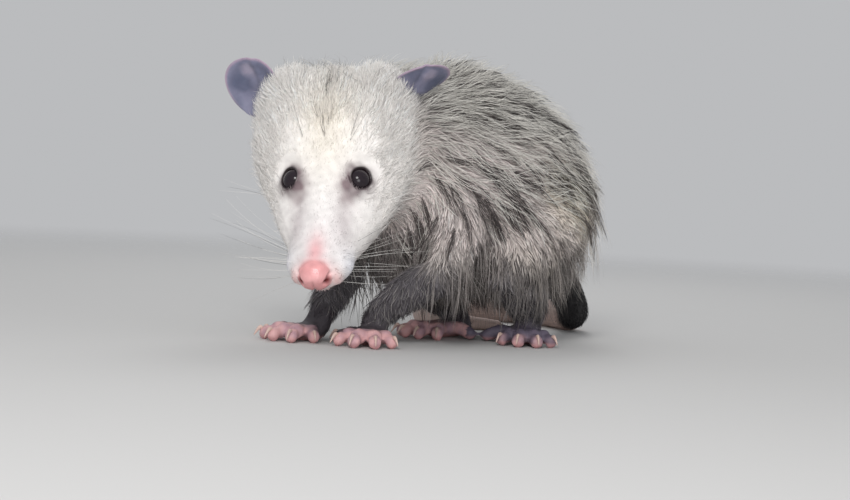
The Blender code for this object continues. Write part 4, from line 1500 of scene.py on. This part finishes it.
def on_corners(skin: Skin) -> np.ndarray:
    """In front of and over the ears, where the hair stands up."""
    along, aside, height = skin.place.T
    band = ease(14.0, 24.0, abs(aside)) * ease(-32.0, -44.0, along) * ease(2.0, 14.0, height)
    return skin.share[Part.HEAD] * band * (1.0 - np.maximum(skin.ear_base(1.0), skin.ear_base(-1.0)))


def on_top(skin: Skin) -> np.ndarray:
    """The top of the head, behind the brow."""
    return skin.share[Part.HEAD] * ease(-34.0, -52.0, skin.place[:, 0]) * (skin.place[:, 2] > 8.0)


def on_brow(skin: Skin) -> np.ndarray:
    """A narrow line down the middle of the crown to the brow."""
    along, aside, height = skin.place.T
    line = np.exp(-((aside / 4.5) ** 2)) * ease(-4.0, -14.0, along) * ease(-64.0, -40.0, along)
    return skin.share[Part.HEAD] * line * (height > 0.0)


def on_body(skin: Skin) -> np.ndarray:
    """Neck, trunk and the tops of the legs."""
    nape = 1.1 * skin.share[Part.HEAD] * ease(-46.0, -62.0, skin.place[:, 0])
    return (skin.share[Part.NECK] + skin.share[Part.TRUNK] + skin.share[Part.UPPER_ARM] + skin.share[Part.THIGH]
            + 0.4 * skin.share[Part.SHANK] + 0.4 * skin.share[Part.FOREARM] + nape)


def on_back(skin: Skin) -> np.ndarray:
    """Back and flanks, above all along the spine and on the rump."""
    high = ease(0.06, 0.13, skin.surface.points[:, 2])
    nape = skin.share[Part.HEAD] * ease(-50.0, -66.0, skin.place[:, 0])
    return (skin.share[Part.TRUNK] + 0.6 * skin.share[Part.NECK] + 0.5 * nape) * (0.25 + high)


def on_flank(skin: Skin) -> np.ndarray:
    """The flanks, where wet hair clings in streaks, in patches."""
    high = ease(0.055, 0.085, skin.surface.points[:, 2])
    flank = skin.share[Part.TRUNK] + 0.6 * skin.share[Part.THIGH] + 0.5 * skin.share[Part.UPPER_ARM]
    return flank * high * np.clip(0.8 + 0.5 * waves(skin.surface.points, 26.0, 41), 0.2, 1.4)


def on_limbs(skin: Skin) -> np.ndarray:
    """Fore and hind legs above the feet."""
    return skin.share[Part.FOREARM] + skin.share[Part.SHANK] + 0.6 * skin.share[Part.UPPER_ARM]


def on_belly(skin: Skin) -> np.ndarray:
    """The underside, from the throat to the groin, and the insides of the upper legs."""
    down = ease(0.3, -0.5, skin.surface.normals()[:, 2])
    low = ease(0.085, 0.055, skin.surface.points[:, 2])
    return (skin.share[Part.TRUNK] + skin.share[Part.NECK] + 0.6 * skin.share[Part.UPPER_ARM]
            + 0.5 * skin.share[Part.THIGH]) * down * low


def on_mane(skin: Skin) -> np.ndarray:
    """The nape and the tops of the shoulders."""
    high = ease(0.105, 0.14, skin.surface.points[:, 2])
    front = ease(0.01, -0.03, skin.surface.points[:, 1])
    return (skin.share[Part.TRUNK] + skin.share[Part.NECK]) * high * front


def on_rump(skin: Skin) -> np.ndarray:
    """The rump and the backs of the thighs."""
    return (skin.share[Part.TRUNK] + skin.share[Part.THIGH]) * ease(0.02, 0.075, skin.surface.points[:, 1])


def on_legs(skin: Skin) -> np.ndarray:
    """The lower legs and the backs of the feet."""
    legs = skin.share[Part.FOREARM] + skin.share[Part.SHANK] + 0.5 * skin.share[Part.UPPER_ARM]
    feet = skin.share[Part.FOREPAW] + skin.share[Part.HINDPAW]
    return legs + 1.8 * feet * (1.0 - skin.bare) + 1.5 * skin.share[Part.TAIL_ROOT]


def on_toes(skin: Skin) -> np.ndarray:
    """The tops of the toes and the tail, thinly."""
    feet = (skin.share[Part.FOREPAW] + skin.share[Part.HINDPAW]) * ease(0.0015, 0.004, skin.surface.points[:, 2])
    return feet * skin.bare * 0.8 + 0.55 * skin.share[Part.TAIL]


LAYERS = (
    Layer("face_coat", "white_fur", 24600, on_face, 2.1, 1.1, 0.38, clump=0.2, gap=1.8, spread=0.18, jitter=0.05,
          ends=(0.98, 1.04, 1.07)),
    Layer("crown_coat", "white_fur", 14000, on_crown, 4.8, 1.5, 0.50, rings=3, clump=0.22, gap=3.0, spread=0.16,
          wave=0.03, jitter=0.05, ends=(1.0, 1.06, 1.1)),
    Layer("head_fringe", "white_fur", 3500, on_fringe, 9.0, 1.2, 0.26, rings=3, clump=0.25, gap=4.0, spread=0.35,
          wave=0.05, lift=1.3, jitter=0.06, ends=(0.97, 1.0, 1.03)),
    Layer("cheek_ruff", "white_fur", 2600, on_cheeks, 6.5, 1.0, 0.6, rings=3, clump=0.75, gap=6.0, lift=1.5,
          spread=0.25, jitter=0.10, wave=0.05, bunch=5, ends=(0.82, 1.0, 1.08)),
    Layer("ear_tufts", "white_fur", 2400, on_corners, 10.0, 0.8, 0.38, rings=3, clump=0.3, gap=3.5, spread=0.3,
          wave=0.04, lift=2.4, jitter=0.05, ends=(1.0, 1.06, 1.1)),
    Layer("fringe_dark", "dark_fur", 150, on_top, 13.0, 1.2, 0.18, rings=4, clump=0.1, gap=4.0, spread=0.5,
          wave=0.07, lift=2.4, tint=(0.24, 0.21, 0.20), tinted=0.75, ends=(0.9, 1.0, 1.0)),
    Layer("brow_streaks", "dark_fur", 30, on_brow, 10.0, 0.8, 0.17, rings=3, clump=0.3, gap=3.0, spread=0.12,
          lift=0.6, rise=0.9, bunch=2, tint=(0.24, 0.21, 0.20), tinted=0.75, ends=(0.9, 1.0, 1.0)),
    Layer("body_underfur", "grey_fur", 12600, on_body, 4.0, 1.35, 1.35, rings=3, clump=0.4, gap=6.0, lift=0.8,
          spread=0.22, jitter=0.10, ends=(0.78, 1.0, 1.06)),
    Layer("body_locks", "grey_fur", 12000, on_body, 5.0, 1.5, 0.55, rings=3, clump=0.75, gap=7.0, lift=0.95,
          spread=0.2, jitter=0.16, wave=0.05, bunch=5, ends=(0.76, 1.0, 1.12)),
    Layer("dark_streaks", "dark_fur", 3200, on_flank, 18.0, 1.1, 0.42, rings=4, clump=0.96, gap=4.0, lift=0.4,
          spread=0.14, rise=0.75, bunch=8, wave=0.06, ends=(0.9, 0.9, 0.9), tint=(0.20, 0.17, 0.17),
          tinted=0.9, droop=0.1),
    Layer("guard_hairs", "white_fur", 5000, on_back, 15.0, 2.0, 0.34, rings=4, clump=0.55, gap=8.0, lift=1.45,
          spread=0.25, wave=0.04, bunch=3, ends=(0.8, 1.0, 1.1), tint=(0.92, 0.91, 0.88), tinted=0.85),
    Layer("mane_hairs", "white_fur", 1500, on_mane, 14.0, 1.9, 0.36, rings=4, clump=0.5, gap=8.0, lift=1.7,
          spread=0.3, wave=0.04, bunch=3, ends=(0.6, 0.9, 1.1), tint=(0.90, 0.89, 0.86), tinted=0.7),
    Layer("rump_hairs", "white_fur", 1800, on_rump, 18.0, 2.0, 0.34, rings=5, clump=0.5, gap=8.0, lift=1.0,
          spread=0.25, wave=0.05, droop=0.35, bunch=3, ends=(0.8, 1.0, 1.1), tint=(0.88, 0.86, 0.83),
          tinted=0.8),
    Layer("belly_hairs", "dark_fur", 3800, on_belly, 19.0, 1.2, 0.5, rings=4, clump=0.55, gap=7.0, lift=0.9,
          spread=0.3, wave=0.05, droop=0.55, bunch=4, ends=(0.8, 1.0, 1.2), tint=(0.33, 0.31, 0.30),
          tinted=0.6),
    Layer("leg_coat", "dark_fur", 12500, on_legs, 3.2, 1.25, 0.5, clump=0.4, gap=3.0, lift=1.0, spread=0.22,
          jitter=0.3, ends=(0.85, 1.1, 1.5)),
    Layer("leg_hairs", "white_fur", 1600, on_limbs, 6.5, 0.8, 0.2, rings=3, clump=0.2, gap=4.0, lift=1.3,
          spread=0.3, rise=0.3, tint=(0.74, 0.72, 0.70), tinted=0.75, ends=(0.7, 1.0, 1.1)),
    Layer("toe_hairs", "dark_fur", 2000, on_toes, 1.6, 0.5, 0.22, clump=0.0, lift=1.3, spread=0.4,
          ends=(0.9, 0.9, 0.9), tint=(0.85, 0.8, 0.78), tinted=0.55),
)


def main() -> None:
    """Builds the animal and its studio."""
    logging.basicConfig(level=logging.INFO, format="%(name)s %(message)s")
    head = HeadFrame()
    skin = Skin(head)
    skin.build()
    skin.dress()
    Eyes(head, skin.eye_sink).build()
    for word, shape in zip(("right", "left"), EARS):
        Ear(head, word, *shape).build()
    Claws().build()
    coat = Coat(skin)
    for number, layer in enumerate(LAYERS):
        coat.build(layer, 100 + number)
    Whiskers(skin, "whiskers_pale", "white_fur", (0.93, 0.92, 0.90), 11, 0.25).build()
    Whiskers(skin, "whiskers_dark", "dark_fur", (0.20, 0.18, 0.18), 12, 0.72).build()
    Studio().build()


if __name__ == "__main__":
    main()
